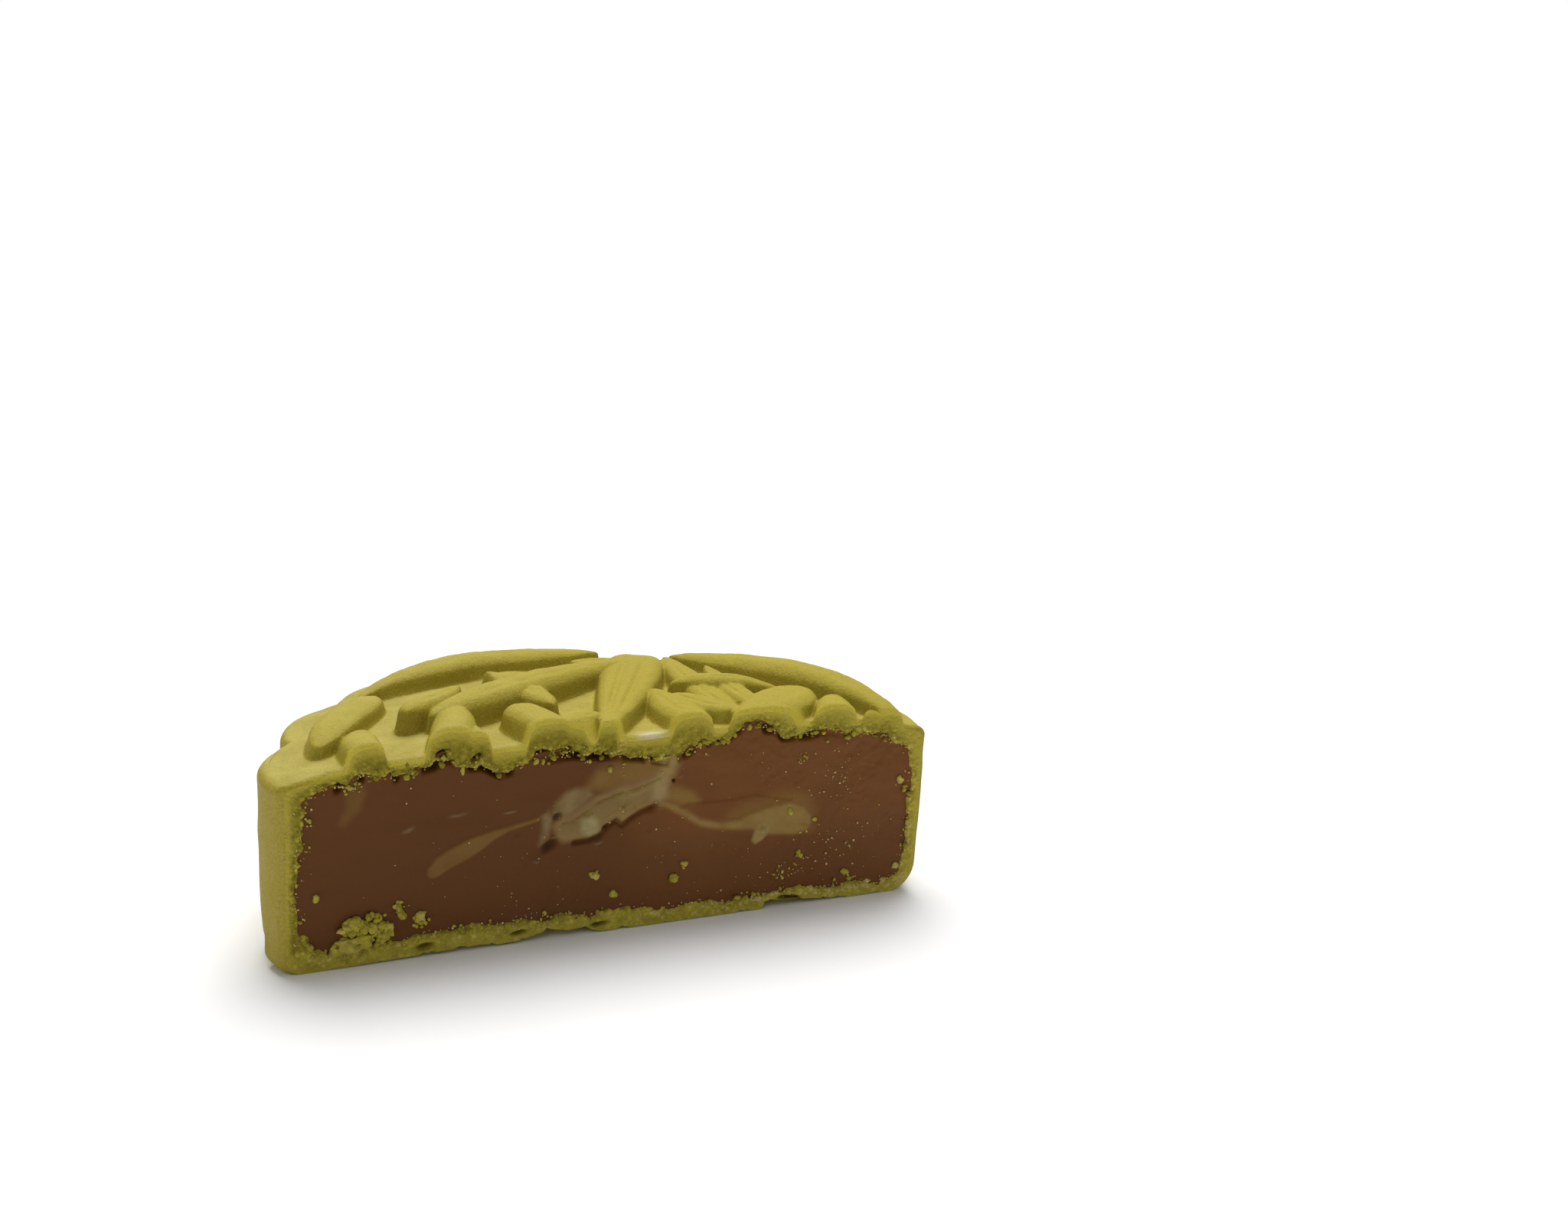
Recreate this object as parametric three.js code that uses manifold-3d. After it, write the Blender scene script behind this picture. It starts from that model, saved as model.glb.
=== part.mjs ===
// Half of a scalloped mooncake, cut upright through its middle. A thin crust, pressed with a pattern of
// crossing leaves, wraps a dark paste, and a pale custard core runs back from the cut.
// Millimetres, +Z up. The cut face looks along -Y, and the half rests on its flat base.
import * as THREE from "three";
import { mergeVertices } from "three/addons/utils/BufferGeometryUtils.js";
import Module from "manifold-3d";

const wasm = await Module();
wasm.setup();

// Driving dimensions of the cake
const VALLEY_RADIUS = 35; // axis to the notch between two scallops
const PEAK_RADIUS = 37; // axis to the middle of a scallop
const SCALLOPS = 16;
const FIRST_NOTCH = THREE.MathUtils.degToRad(1.4); // turn of the notch next to the cut's right end
const RIM_HEIGHT = 19.7; // base to the edge of the top
const CROWN = 2.1; // rise of the top's middle over its edge
const CROWN_POWER = 5; // how late the crown falls to the edge
const RIM_ROUND = 1.1; // round of the top's edge
const FOOT_ROUND = 2.5; // mean round of the base's edge
const FOOT_ROUND_SWING = 0.8; // more of it at the right end, less at the left

// The crust's thickness
const GAP = 0.3; // clearance between neighbouring layers
const WALL = 1.15; // wall at the base
const WALL_SWELL = 1.3; // extra wall at the top of the left end
const FLOOR = 1.6;
const FLOOR_SWELL = 0.5; // extra floor at the left end
const ROOF = 1.5; // crust over the filling
const CORNER_ROUND = 3; // round of the filling's edges
const RIPPLE = 0.16; // unevenness of the crust's inner side

// The pressed pattern, in the mould's own frame. The knife runs at KNIFE_TURN to the mould.
const KNIFE_TURN = THREE.MathUtils.degToRad(22.4);
const PATTERN_SHIFT = new THREE.Vector2(0.4, -1.0); // mould pattern against the scallops
const LEAF_ROOT = 0.9; // how deep a leaf's body is sunk in the crust
const LEAF_SIDE = 0.45; // how far a leaf's foot leans out

// The custard's cut section, as stations along it: place across, height over the base, half thickness
const CUSTARD_STATIONS = [
  [-21.6, 9.2, 0.45],
  [-17.6, 11.9, 0.5],
  [-12.4, 13.3, 0.5],
  [-9.2, 13.6, 1.1],
  [-7.2, 13.4, 2.6],
  [-3.8, 13.7, 3.1],
  [0.4, 14.4, 2.3],
  [4.2, 15.9, 2.7],
  [6.6, 12.8, 0.9],
  [11.0, 11.0, 0.8],
  [16.0, 10.8, 1.3],
  [20.0, 10.4, 1.9],
  [22.6, 9.9, 0.6],
];
const CUSTARD_DEPTH = 12; // how far its middle runs back from the cut, over its ends
const CUSTARD_EDGE_DEPTH = 1.5; // how far its ends run back

// Fineness of the facets
const SCALLOP_STEPS = 8;
const INNER_STEPS = 72;
const ARC_STEPS = 3;
const TOP_RINGS = [0.96, 0.9, 0.8, 0.62, 0.36, 0.12];
const LEAF_STATIONS = 12;
const CUSTARD_STEPS = 22;
const CUSTARD_ROUND_STEPS = 10;
const FINEST = 0.01; // slivers that the joins leave, finer than this, are merged

// Each leaf: where its middle line starts, bends and ends, its width, its heights over the top at its two
// ends, how drawn out they are (a low taper is a blunt end, a high one a point), and how late it gains its
// height from each
const LEAVES = {
  leftArc: leaf([-5.1, 31], [-21.9, 25.4], [-30.8, 8.8], 7.3, [1.7, 3.5], [0.61, 0.87], [0.2, 0.75]),
  upperCross: leaf([-8.2, 24.5], [-5.4, 25.3], [-2.6, 26.1], 3.8, [1.4, 1.4], [0.3, 0.3]),
  innerCross: leaf([-16.4, 19.6], [-12.2, 18.8], [-8, 17.8], 3.8, [1, 1], [0.5, 0.6]),
  slanting: leaf([-17.6, 17.1], [-13.2, 12.4], [-8.5, 4.2], 4.6, [2.2, 2.6], [1, 0.6], [0.15, 0.2]),
  leftDrop: leaf([-19.4, 13.4], [-20.7, 7], [-23.4, -1.2], 4.2, [1.4, 3.3], [0.8, 0.42], [0.15, 0.3]),
  leftOval: leaf([-28.5, 8.6], [-30.5, 1.4], [-30.7, -6.7], 5.8, [1.7, 2.3], [0.22, 0.42], [0.2, 0.5]),
  longDiagonal: leaf([-1.8, 23.5], [-12.4, 12.5], [-20.8, -1], 6.2, [2.4, 3.4], [0.58, 0.5], [0.2, 0.35]),
  leftStem: leaf([-18.5, 2.2], [-17.6, -5.5], [-17.6, -16.4], 5.1, [2.7, 2.7], [0.35, 0.58]),
  leftSpray: leaf([-17.3, 0], [-16.1, -7.2], [-7, -16.1], 3.6, [2, 2], [0.68, 0.69]),
  leftCorner: leaf([-27.1, -2.7], [-28, -7.6], [-20.1, -16.4], 4.3, [1.6, 2.7], [0.4, 0.8]),
  lowLeft: leaf([-12.5, 3.8], [-9, -1.6], [-1.1, -11.2], 5.4, [2.3, 2.9], [0.26, 0.77], [0.15, 0.2]),
  lowChip: leaf([-7.6, -2.1], [-6.2, 1.2], [-3.4, 2.7], 4, [2.2, 2.2], [0.48, 0.5]),
  centre: leaf([-0.5, 29.8], [-0.8, 15.5], [-3, -2.1], 7.5, [1.8, 2.3], [0.25, 0.64], [0.9, 0.2]),
  rightArc: leaf([3.2, 31.1], [19.6, 27.7], [30.7, 9.9], 8.4, [1.7, 4.7], [0.58, 0.8], [0.2, 1.1]),
  rightSecond: leaf([7.3, 24.5], [9.5, 16.7], [13.6, 7.7], 4, [1.9, 1.9], [0.8, 0.5], [0.1, 0.2]),
  rightSteep: leaf([2.7, 29.4], [6.1, 14.8], [12.2, 4.7], 4.5, [1.7, 1.7], [0.59, 0.71]),
  rightCross: leaf([3.2, 15.4], [9.3, 17.6], [17.8, 18.1], 4.4, [2.5, 2.5], [0.69, 0.9], [0.4, 1]),
  rightSlant: leaf([19.1, 17.2], [16.1, 13.7], [10.1, 1.6], 7.3, [2, 2], [0.58, 0.75]),
  rightDrop: leaf([22.2, 16.4], [20.9, 8.3], [24.5, -2.2], 5.2, [1.8, 1.8], [0.52, 0.74]),
  rightEdge: leaf([26, 12.4], [27.9, 8], [32.3, -0.3], 5.6, [1.4, 1.4], [0.45, 0.71]),
  centreSpray: leaf([1.6, 13.6], [3.8, 6.5], [9.1, 0], 5.6, [2.1, 1.9], [0.9, 0.87]),
  fineSpray: leaf([3.6, 12.5], [7.1, 8.6], [10.7, 7.3], 4.8, [1.8, 1.8], [0.49, 0.51], [0.3, 0.2]),
};

// Place across a leaf, from its middle (0) to its side (1), and the share of its height there: a broad
// round back and a steep side
const LEAF_SECTION = [
  [0, 1],
  [0.36, 0.97],
  [0.68, 0.82],
  [0.9, 0.52],
  [1, 0],
];

// One leaf's sizes by name
function leaf(start, bend, end, width, heights, tapers, softness = [0.2, 0.2]) {
  return { start, bend, end, width, heights, tapers, softness };
}

// A closed solid from a mesh's vertices and faces, faces out
function solidOf(vertices, faces) {
  const loose = new THREE.BufferGeometry();
  loose.setAttribute("position", new THREE.Float32BufferAttribute(vertices, 3));
  loose.setIndex(faces);
  const merged = mergeVertices(loose, 1e-4);
  const triVerts = new Uint32Array(merged.index.array);
  const vertProperties = merged.attributes.position.array;
  return new wasm.Manifold(new wasm.Mesh({ numProp: 3, vertProperties, triVerts }));
}

// A closed skin over rings of equal count, with a fan over each end. Rings run along the solid, and
// the points of each run round it so that the skin faces out.
function skinned(rings) {
  const count = rings[0].length;
  const vertices = rings.flat().flatMap((p) => [p.x, p.y, p.z]);
  const faces = [];
  for (let ring = 0; ring + 1 < rings.length; ring++) {
    for (let i = 0; i < count; i++) {
      const next = (i + 1) % count;
      const a = ring * count + i;
      const b = ring * count + next;
      faces.push(a, b, b + count, a, b + count, a + count);
    }
  }
  for (const [ring, flip] of [[0, true], [rings.length - 1, false]]) {
    const middle = new THREE.Vector3();
    rings[ring].forEach((p) => middle.add(p));
    middle.divideScalar(count);
    const hub = vertices.length / 3;
    vertices.push(middle.x, middle.y, middle.z);
    for (let i = 0; i < count; i++) {
      const a = ring * count + i;
      const b = ring * count + ((i + 1) % count);
      faces.push(...(flip ? [b, a, hub] : [a, b, hub]));
    }
  }
  return solidOf(vertices, faces);
}

// The solid of a three.js geometry
function solidOfGeometry(geometry) {
  geometry.deleteAttribute("normal");
  geometry.deleteAttribute("uv");
  const merged = mergeVertices(geometry, 1e-4);
  return solidOf([...merged.attributes.position.array], [...merged.index.array]);
}

// Radius of the scalloped outline: each scallop is one arc from notch to notch over its peak
function outlineRadius(angle) {
  const span = (2 * Math.PI) / SCALLOPS;
  const turn = (angle - FIRST_NOTCH) / span;
  const away = (turn - Math.floor(turn) - 0.5) * span;
  const halfChord = VALLEY_RADIUS * Math.sin(span / 2);
  const rise = PEAK_RADIUS - VALLEY_RADIUS * Math.cos(span / 2);
  const arcRadius = (halfChord ** 2 + rise ** 2) / (2 * rise);
  const arcCentre = PEAK_RADIUS - arcRadius;
  return arcCentre * Math.cos(away) + Math.sqrt(arcRadius ** 2 - (arcCentre * Math.sin(away)) ** 2);
}

// Height of the crowned top at a distance from the axis
function topHeight(radius) {
  const share = Math.min(radius / VALLEY_RADIUS, 1);
  return RIM_HEIGHT + CROWN * (1 - share ** CROWN_POWER);
}

// A quarter round from (radius, start) as [radius, height] pairs, turning inwards above or below
function quarterRound(radius, height, round, up) {
  return Array.from({ length: ARC_STEPS + 1 }, (_, i) => {
    const angle = (i / ARC_STEPS) * (Math.PI / 2);
    const rise = up ? round * Math.sin(angle) : -round * Math.cos(angle);
    const reach = up ? round * Math.cos(angle) : round * Math.sin(angle);
    return [radius - round + reach, height + rise];
  });
}

// The crust's outer profile at one angle, base to top
function outerProfile(angle) {
  const radius = outlineRadius(angle);
  const foot = FOOT_ROUND + FOOT_ROUND_SWING * Math.cos(angle);
  const edge = RIM_HEIGHT - RIM_ROUND;
  const shoulder = radius - RIM_ROUND;
  return [
    [radius * 0.5, 0],
    ...quarterRound(radius, foot, foot, false),
    ...quarterRound(radius, edge, RIM_ROUND, true),
    ...TOP_RINGS.map((share) => [shoulder * share, topHeight(shoulder * share)]),
  ];
}

// The filling's outer profile at one angle, base to top. Clearance shrinks it all round.
function fillingProfile(angle, clearance) {
  const leftness = (1 - Math.cos(angle)) / 2;
  const wave = RIPPLE * (Math.sin(7 * angle + 0.6) + 0.6 * Math.sin(17 * angle));
  const reach = VALLEY_RADIUS - WALL - clearance + wave;
  const low = FLOOR + FLOOR_SWELL * leftness + clearance;
  const lid = (radius) => topHeight(radius) - ROOF - clearance;
  const topReach = reach - WALL_SWELL * leftness;
  const high = lid(topReach - CORNER_ROUND);
  return [
    [reach * 0.5, low],
    ...quarterRound(reach, low + CORNER_ROUND, CORNER_ROUND, false),
    ...quarterRound(topReach, high - CORNER_ROUND, CORNER_ROUND, true),
    [topReach * 0.6, lid(topReach * 0.6)],
    [topReach * 0.2, lid(topReach * 0.2)],
  ];
}

// A body whose profile may change with the angle round the axis
function turned(profile, steps) {
  const columns = Array.from({ length: steps }, (_, i) => {
    const angle = FIRST_NOTCH + (i / steps) * 2 * Math.PI;
    return profile(angle).map(([radius, height]) => {
      return new THREE.Vector3(radius * Math.cos(angle), radius * Math.sin(angle), height);
    });
  });
  const rings = columns[0].map((_, level) => columns.map((column) => column[level]));
  return skinned(rings);
}

// Everything behind the knife's upright plane
function behindKnife() {
  const reach = 4 * PEAK_RADIUS;
  const box = new THREE.BoxGeometry(reach, reach, reach);
  box.translate(0, reach / 2, 0);
  return solidOfGeometry(box);
}

// A point of the mould's pattern in the frame of the cut
function fromMould([x, y]) {
  return new THREE.Vector2(x, y).add(PATTERN_SHIFT).rotateAround(new THREE.Vector2(), -KNIFE_TURN);
}

// One leaf as a solid along its bent middle line, its root sunk in the crust
function leafSolid({ start, bend, end, width, heights, tapers, softness }) {
  const line = new THREE.QuadraticBezierCurve(fromMould(start), fromMould(bend), fromMould(end));
  const [startTaper, endTaper] = tapers;
  const widest = startTaper / (startTaper + endTaper);
  const rings = Array.from({ length: LEAF_STATIONS }, (_, i) => {
    const along = 0.5 - 0.5 * Math.cos((Math.PI * (i + 0.2)) / (LEAF_STATIONS - 0.6));
    const fullness = (along / widest) ** startTaper * ((1 - along) / (1 - widest)) ** endTaper;
    const half = (width / 2) * fullness;
    const tall = THREE.MathUtils.lerp(heights[0], heights[1], along);
    const rise = tall * fullness ** softness[along < widest ? 0 : 1];
    const middle = line.getPoint(along);
    const ahead = line.getTangent(along);
    const across = new THREE.Vector2(-ahead.y, ahead.x);
    const at = (share, over) => {
      const p = middle.clone().addScaledVector(across, share * half);
      return new THREE.Vector3(p.x, p.y, topHeight(p.length()) + over);
    };
    const side = LEAF_SECTION.slice(1).map(([share, part]) => [share, part * rise]);
    const foot = 1 + LEAF_SIDE / Math.max(half, LEAF_SIDE);
    return [
      at(-foot, -LEAF_ROOT),
      at(foot, -LEAF_ROOT),
      ...side.toReversed().map(([share, over]) => at(share, over)),
      at(0, rise),
      ...side.map(([share, over]) => at(-share, over)),
    ];
  });
  return skinned(rings);
}

// The custard's half lens, flat at the cut and round behind. Clearance grows it all round and forwards.
function custardSolid(clearance) {
  const stations = CUSTARD_STATIONS.map((station) => new THREE.Vector3(...station));
  const curve = new THREE.CatmullRomCurve3(stations);
  const [first, last] = [stations[0].x, stations.at(-1).x];
  const rings = Array.from({ length: CUSTARD_STEPS + 1 }, (_, i) => {
    const { x, y: height, z: halfThickness } = curve.getPoint(i / CUSTARD_STEPS);
    const end = i === 0 ? -1 : i === CUSTARD_STEPS ? 1 : 0;
    const across = THREE.MathUtils.mapLinear(x, first, last, -1, 1);
    const depth = CUSTARD_EDGE_DEPTH + CUSTARD_DEPTH * Math.sqrt(1 - Math.min(across ** 2, 1));
    const half = halfThickness + clearance;
    const at = (back, up) => new THREE.Vector3(x + end * clearance, back, height + up);
    const round = Array.from({ length: CUSTARD_ROUND_STEPS + 1 }, (_, step) => {
      const angle = (step / CUSTARD_ROUND_STEPS) * Math.PI;
      return at((depth + clearance) * Math.sin(angle), -half * Math.cos(angle));
    });
    return clearance > 0 ? [at(-1, -half), ...round, at(-1, half)] : round;
  });
  return skinned(rings);
}

// The crust: the scalloped body with its leaves, hollowed for the filling and cut
function crustSolid(knife) {
  let body = turned(outerProfile, SCALLOPS * SCALLOP_STEPS);
  for (const sizes of Object.values(LEAVES)) body = body.add(leafSolid(sizes));
  const hollow = turned((angle) => fillingProfile(angle, 0), INNER_STEPS);
  return body.subtract(hollow).intersect(knife).simplify(FINEST);
}

// The paste: all of the hollow but its clearance, cut, with room for the custard
function fillingSolid(knife) {
  const paste = turned((angle) => fillingProfile(angle, GAP), INNER_STEPS);
  return paste.intersect(knife).subtract(custardSolid(GAP));
}

// A named mesh from a solid
function meshOf(name, solid, material) {
  const { vertProperties, triVerts } = solid.getMesh();
  const geometry = new THREE.BufferGeometry();
  geometry.setAttribute("position", new THREE.BufferAttribute(vertProperties, 3));
  geometry.setIndex(new THREE.BufferAttribute(triVerts, 1));
  geometry.computeVertexNormals();
  const mesh = new THREE.Mesh(geometry, material);
  mesh.name = name;
  return mesh;
}

const crustMaterial = new THREE.MeshStandardMaterial({ color: 0xb0a34a, roughness: 0.75, metalness: 0 });
const fillingMaterial = new THREE.MeshStandardMaterial({ color: 0x50321f, roughness: 0.55, metalness: 0 });
const custardMaterial = new THREE.MeshStandardMaterial({ color: 0x8f8460, roughness: 0.35, metalness: 0 });

const knife = behindKnife();
const half = new THREE.Group();
half.add(meshOf("crust", crustSolid(knife), crustMaterial));
half.add(meshOf("filling", fillingSolid(knife), fillingMaterial));
half.add(meshOf("custard", custardSolid(0), custardMaterial));

// The origin lies under the middle of the half's bounding box
const middle = new THREE.Box3().setFromObject(half).getCenter(new THREE.Vector3());
half.children.forEach((mesh) => mesh.position.set(-middle.x, -middle.y, 0));

export default half;
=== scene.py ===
"""Half of a round scalloped mooncake, cut upright: crust with pressed leaves, dark paste, pale custard."""

import logging
import math
from dataclasses import astuple, dataclass, field
from enum import Enum

import bpy
import numpy as np
from mathutils import Matrix, Vector

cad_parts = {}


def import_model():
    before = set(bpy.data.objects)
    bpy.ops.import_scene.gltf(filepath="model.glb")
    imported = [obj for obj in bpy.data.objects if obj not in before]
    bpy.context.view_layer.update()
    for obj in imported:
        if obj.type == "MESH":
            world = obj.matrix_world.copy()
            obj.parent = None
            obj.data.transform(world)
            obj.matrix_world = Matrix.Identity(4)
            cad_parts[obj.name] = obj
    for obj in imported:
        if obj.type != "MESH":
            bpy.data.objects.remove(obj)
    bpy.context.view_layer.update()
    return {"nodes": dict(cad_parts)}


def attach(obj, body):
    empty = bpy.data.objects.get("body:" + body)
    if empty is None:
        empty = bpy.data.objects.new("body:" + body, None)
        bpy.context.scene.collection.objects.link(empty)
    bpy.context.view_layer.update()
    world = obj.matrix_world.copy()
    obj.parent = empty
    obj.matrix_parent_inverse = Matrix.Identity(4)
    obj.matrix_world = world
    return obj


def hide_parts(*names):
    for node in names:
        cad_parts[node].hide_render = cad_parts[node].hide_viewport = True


LOG = logging.getLogger("mooncake")
MM = 0.001
MICRON = 0.001

Points = np.ndarray
Faces = np.ndarray
Pair = tuple[float, float]
Triple = tuple[float, float, float]
Colour = Triple
Line = tuple[Pair, ...]

FRONT = np.array([0.0, -1.0, 0.0])
UP = np.array([0.0, 0.0, 1.0])
INSIDE = np.array([0.0, 8.0, 11.0])
CUT_MIDDLE = np.array([0.0, 0.0, 11.0])


# Plain numeric helpers


def smooth(share: np.ndarray) -> np.ndarray:
    """The smoothstep 3s^2 - 2s^3 of a share that is first held between 0 and 1."""
    held = np.clip(share, 0.0, 1.0)
    return held * held * (3.0 - 2.0 * held)


def hump(value: np.ndarray, middle: float, half: float) -> np.ndarray:
    """A soft hump of height 1 over middle that falls to 0 at half on either side."""
    return smooth(1.0 - np.abs(value - middle) / half)


def line_at(stations: Line, at: np.ndarray) -> np.ndarray:
    """Value, at places, of a line that runs straight between its stations (place, value)."""
    return np.interp(at, *np.array(stations).T)


def rows_of(kind: type, rows: tuple[tuple, ...]) -> tuple:
    """One object of a kind for each row of its fields."""
    return tuple(kind(*row) for row in rows)


def spots_at(x: np.ndarray, z: np.ndarray) -> Points:
    """Points on the plane of the cut, at places across and up, where noise is read."""
    return np.stack([x, np.zeros_like(x), z], -1)


def value_noise(points: Points, cell: float, seed: int) -> np.ndarray:
    """Smooth noise from -1 to 1: seeded random values on a cubic lattice, eased between its corners.

    Args:
        points: places in millimetres, in an array of any shape whose last axis is x, y, z.
        cell: lattice spacing in millimetres.
        seed: seed of the lattice's values.

    Returns:
        One value a point.
    """
    side = 32
    lattice = np.random.default_rng(seed).uniform(-1, 1, (side, side, side))
    scaled = points / cell
    low = np.floor(scaled).astype(int)
    share = scaled - low
    share = share * share * (3 - 2 * share)
    total = np.zeros(points.shape[:-1])
    for corner in np.ndindex(2, 2, 2):
        step = np.array(corner)
        weight = np.prod(np.where(step == 1, share, 1 - share), axis=-1)
        index = (low + step) % side
        total += weight * lattice[index[..., 0], index[..., 1], index[..., 2]]
    return total


def layered_noise(points: Points, cell: float, seed: int, layers: int = 3) -> np.ndarray:
    """Sum of value noises, each at half the cell and 0.55 of the strength of the last.

    Args:
        points: places in millimetres.
        cell: spacing of the coarsest layer.
        seed: seed of the first layer.
        layers: how many layers.

    Returns:
        One value a point, about -1 to 1.
    """
    return sum(0.55**layer * value_noise(points, cell * 0.5**layer, seed + layer) for layer in range(layers))


@dataclass(frozen=True)
class Noise:
    """A layered noise: its strength, its coarsest cell in millimetres, its seed and its layers."""

    strength: float
    cell: float
    seed: int
    layers: int = 3

    def at(self, points: Points) -> np.ndarray:
        """The noise at points."""
        return self.strength * layered_noise(points, self.cell, self.seed, self.layers)


def grain_noise(points: Points, cell: float, seed: int) -> tuple[np.ndarray, np.ndarray]:
    """Distance to the nearest of one jittered seed point a lattice cell, which makes round grains.

    Args:
        points: places in millimetres.
        cell: mean size of a grain in millimetres.
        seed: seed of the jitter.

    Returns:
        The distance in cells, and a random value from 0 to 1 that each grain has.
    """
    side = 24
    rng = np.random.default_rng(seed)
    jitter = rng.uniform(0.1, 0.9, (side, side, side, 3))
    tint = rng.uniform(0, 1, (side, side, side))
    scaled = points / cell
    low = np.floor(scaled).astype(int)
    best = np.full(points.shape[:-1], np.inf)
    best_tint = np.zeros_like(best)
    for offset in np.ndindex(3, 3, 3):
        cube = low + np.array(offset) - 1
        index = cube % side
        spot = cube + jitter[index[..., 0], index[..., 1], index[..., 2]]
        away = np.linalg.norm(scaled - spot, axis=-1)
        nearer = away < best
        best = np.where(nearer, away, best)
        best_tint = np.where(nearer, tint[index[..., 0], index[..., 1], index[..., 2]], best_tint)
    return best, best_tint


def side_distance(first: Points, second: Points, x: np.ndarray, z: np.ndarray) -> np.ndarray:
    """Distance from places to the nearest point of a straight side.

    Args:
        first: the side's first corner.
        second: its second corner.
        x: places across.
        z: places up.

    Returns:
        One distance a place.
    """
    step = second - first
    share = np.clip(((x - first[0]) * step[0] + (z - first[1]) * step[1]) / (step @ step), 0, 1)
    return np.hypot(x - first[0] - share * step[0], z - first[1] - share * step[1])


def distance_to(line: Line, x: np.ndarray, z: np.ndarray) -> np.ndarray:
    """Distance from places to an open line through the given corners."""
    corners = np.array(line)
    return np.min([side_distance(a, b, x, z) for a, b in zip(corners[:-1], corners[1:])], axis=0)


def depth_inside(outline: Line, x: np.ndarray, z: np.ndarray) -> np.ndarray:
    """Distance to a closed outline, positive inside it and negative outside.

    A level ray from the place crosses an odd count of sides when the place lies inside.

    Args:
        outline: corners in order.
        x: places across.
        z: places up.

    Returns:
        One distance a place.
    """
    away = distance_to((*outline, outline[0]), x, z)
    inside = np.zeros(x.shape, bool)
    for first, second in zip(outline, (*outline[1:], outline[0])):
        if first[1] != second[1]:
            between = (first[1] > z) != (second[1] > z)
            run, rise = second[0] - first[0], second[1] - first[1]
            inside ^= between & (x < first[0] + (z - first[1]) * run / rise)
    return np.where(inside, away, -away)


def refined(line: Points, times: int) -> Points:
    """A line of points with each step cut into equal parts."""
    at = np.arange((len(line) - 1) * times + 1) / times
    return np.stack([np.interp(at, np.arange(len(line)), line[:, axis]) for axis in range(3)], -1)


# Mesh helpers


@dataclass
class Patch:
    """A piece of surface: points in millimetres in the knife's frame, and four-sided faces."""

    points: Points
    faces: Faces
    masks: dict[str, np.ndarray] = field(default_factory=dict)

    def centres(self) -> Points:
        """The middle of each face."""
        return self.points[self.faces].mean(1)

    def normals(self) -> Points:
        """The normal of each face, twice as long as its area."""
        corner = self.points[self.faces]
        return np.cross(corner[:, 2] - corner[:, 0], corner[:, 3] - corner[:, 1])

    def turned_to(self, guide: Points) -> "Patch":
        """The patch itself, its faces turned so that on the whole they look along guide.

        Args:
            guide: one direction for all faces, or one a face.

        Returns:
            The patch.
        """
        if np.sum(self.normals() * guide) < 0:
            self.faces = self.faces[:, ::-1]
        return self

    def steepness(self) -> np.ndarray:
        """How steep the surface is at each point: 0 where it lies level and 1 where it stands upright."""
        normal = self.normals()
        sums = [np.bincount(self.faces.reshape(-1), np.repeat(n, 4), len(self.points)) for n in normal.T]
        total = np.stack(sums, -1)
        return 1 - np.abs(total[:, 2]) / np.maximum(np.linalg.norm(total, axis=1), 1e-12)


def grid_patch(grid: Points, masks: dict[str, np.ndarray] | None = None) -> Patch:
    """A patch over a grid of points of shape (rows, columns, 3), a face for each cell.

    Args:
        grid: the points.
        masks: values of shape (rows, columns) that ride along.

    Returns:
        The patch.
    """
    rows, columns = grid.shape[:2]
    index = np.arange(rows * columns).reshape(rows, columns)
    faces = np.stack([index[:-1, :-1], index[:-1, 1:], index[1:, 1:], index[1:, :-1]], -1)
    flat = {name: mask.reshape(-1) for name, mask in (masks or {}).items()}
    return Patch(grid.reshape(-1, 3), faces.reshape(-1, 4), flat)


def stacked(patches: list[Patch]) -> Patch:
    """All patches, which have the same masks, as one."""
    starts = np.cumsum([0] + [len(patch.points) for patch in patches[:-1]])
    return Patch(
        np.concatenate([patch.points for patch in patches]),
        np.concatenate([patch.faces + start for patch, start in zip(patches, starts)]),
        {name: np.concatenate([patch.masks[name] for patch in patches]) for name in patches[0].masks},
    )


def joined(patches: list[Patch]) -> Patch:
    """All patches as one, points that are the same to the micron welded.

    Args:
        patches: the patches, with the same masks.

    Returns:
        One patch, whose three-sided faces repeat a corner.
    """
    whole = stacked(patches)
    keys = np.round(whole.points / MICRON).astype(np.int64)
    _, first, back = np.unique(keys, axis=0, return_index=True, return_inverse=True)
    masks = {name: mask[first] for name, mask in whole.masks.items()}
    return Patch(whole.points[first], back.reshape(-1)[whole.faces], masks)


def loops_of(faces: Faces) -> tuple[np.ndarray, np.ndarray]:
    """Corner indices and counts of faces, without repeated neighbours and faces that this closes up.

    Args:
        faces: four corners a face, some repeated.

    Returns:
        All corners in one row, and how many each kept face has.
    """
    distinct = faces != np.roll(faces, 1, axis=1)
    counts = distinct.sum(1)
    kept = counts >= 3
    return faces[kept][distinct[kept]], counts[kept]


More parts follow.
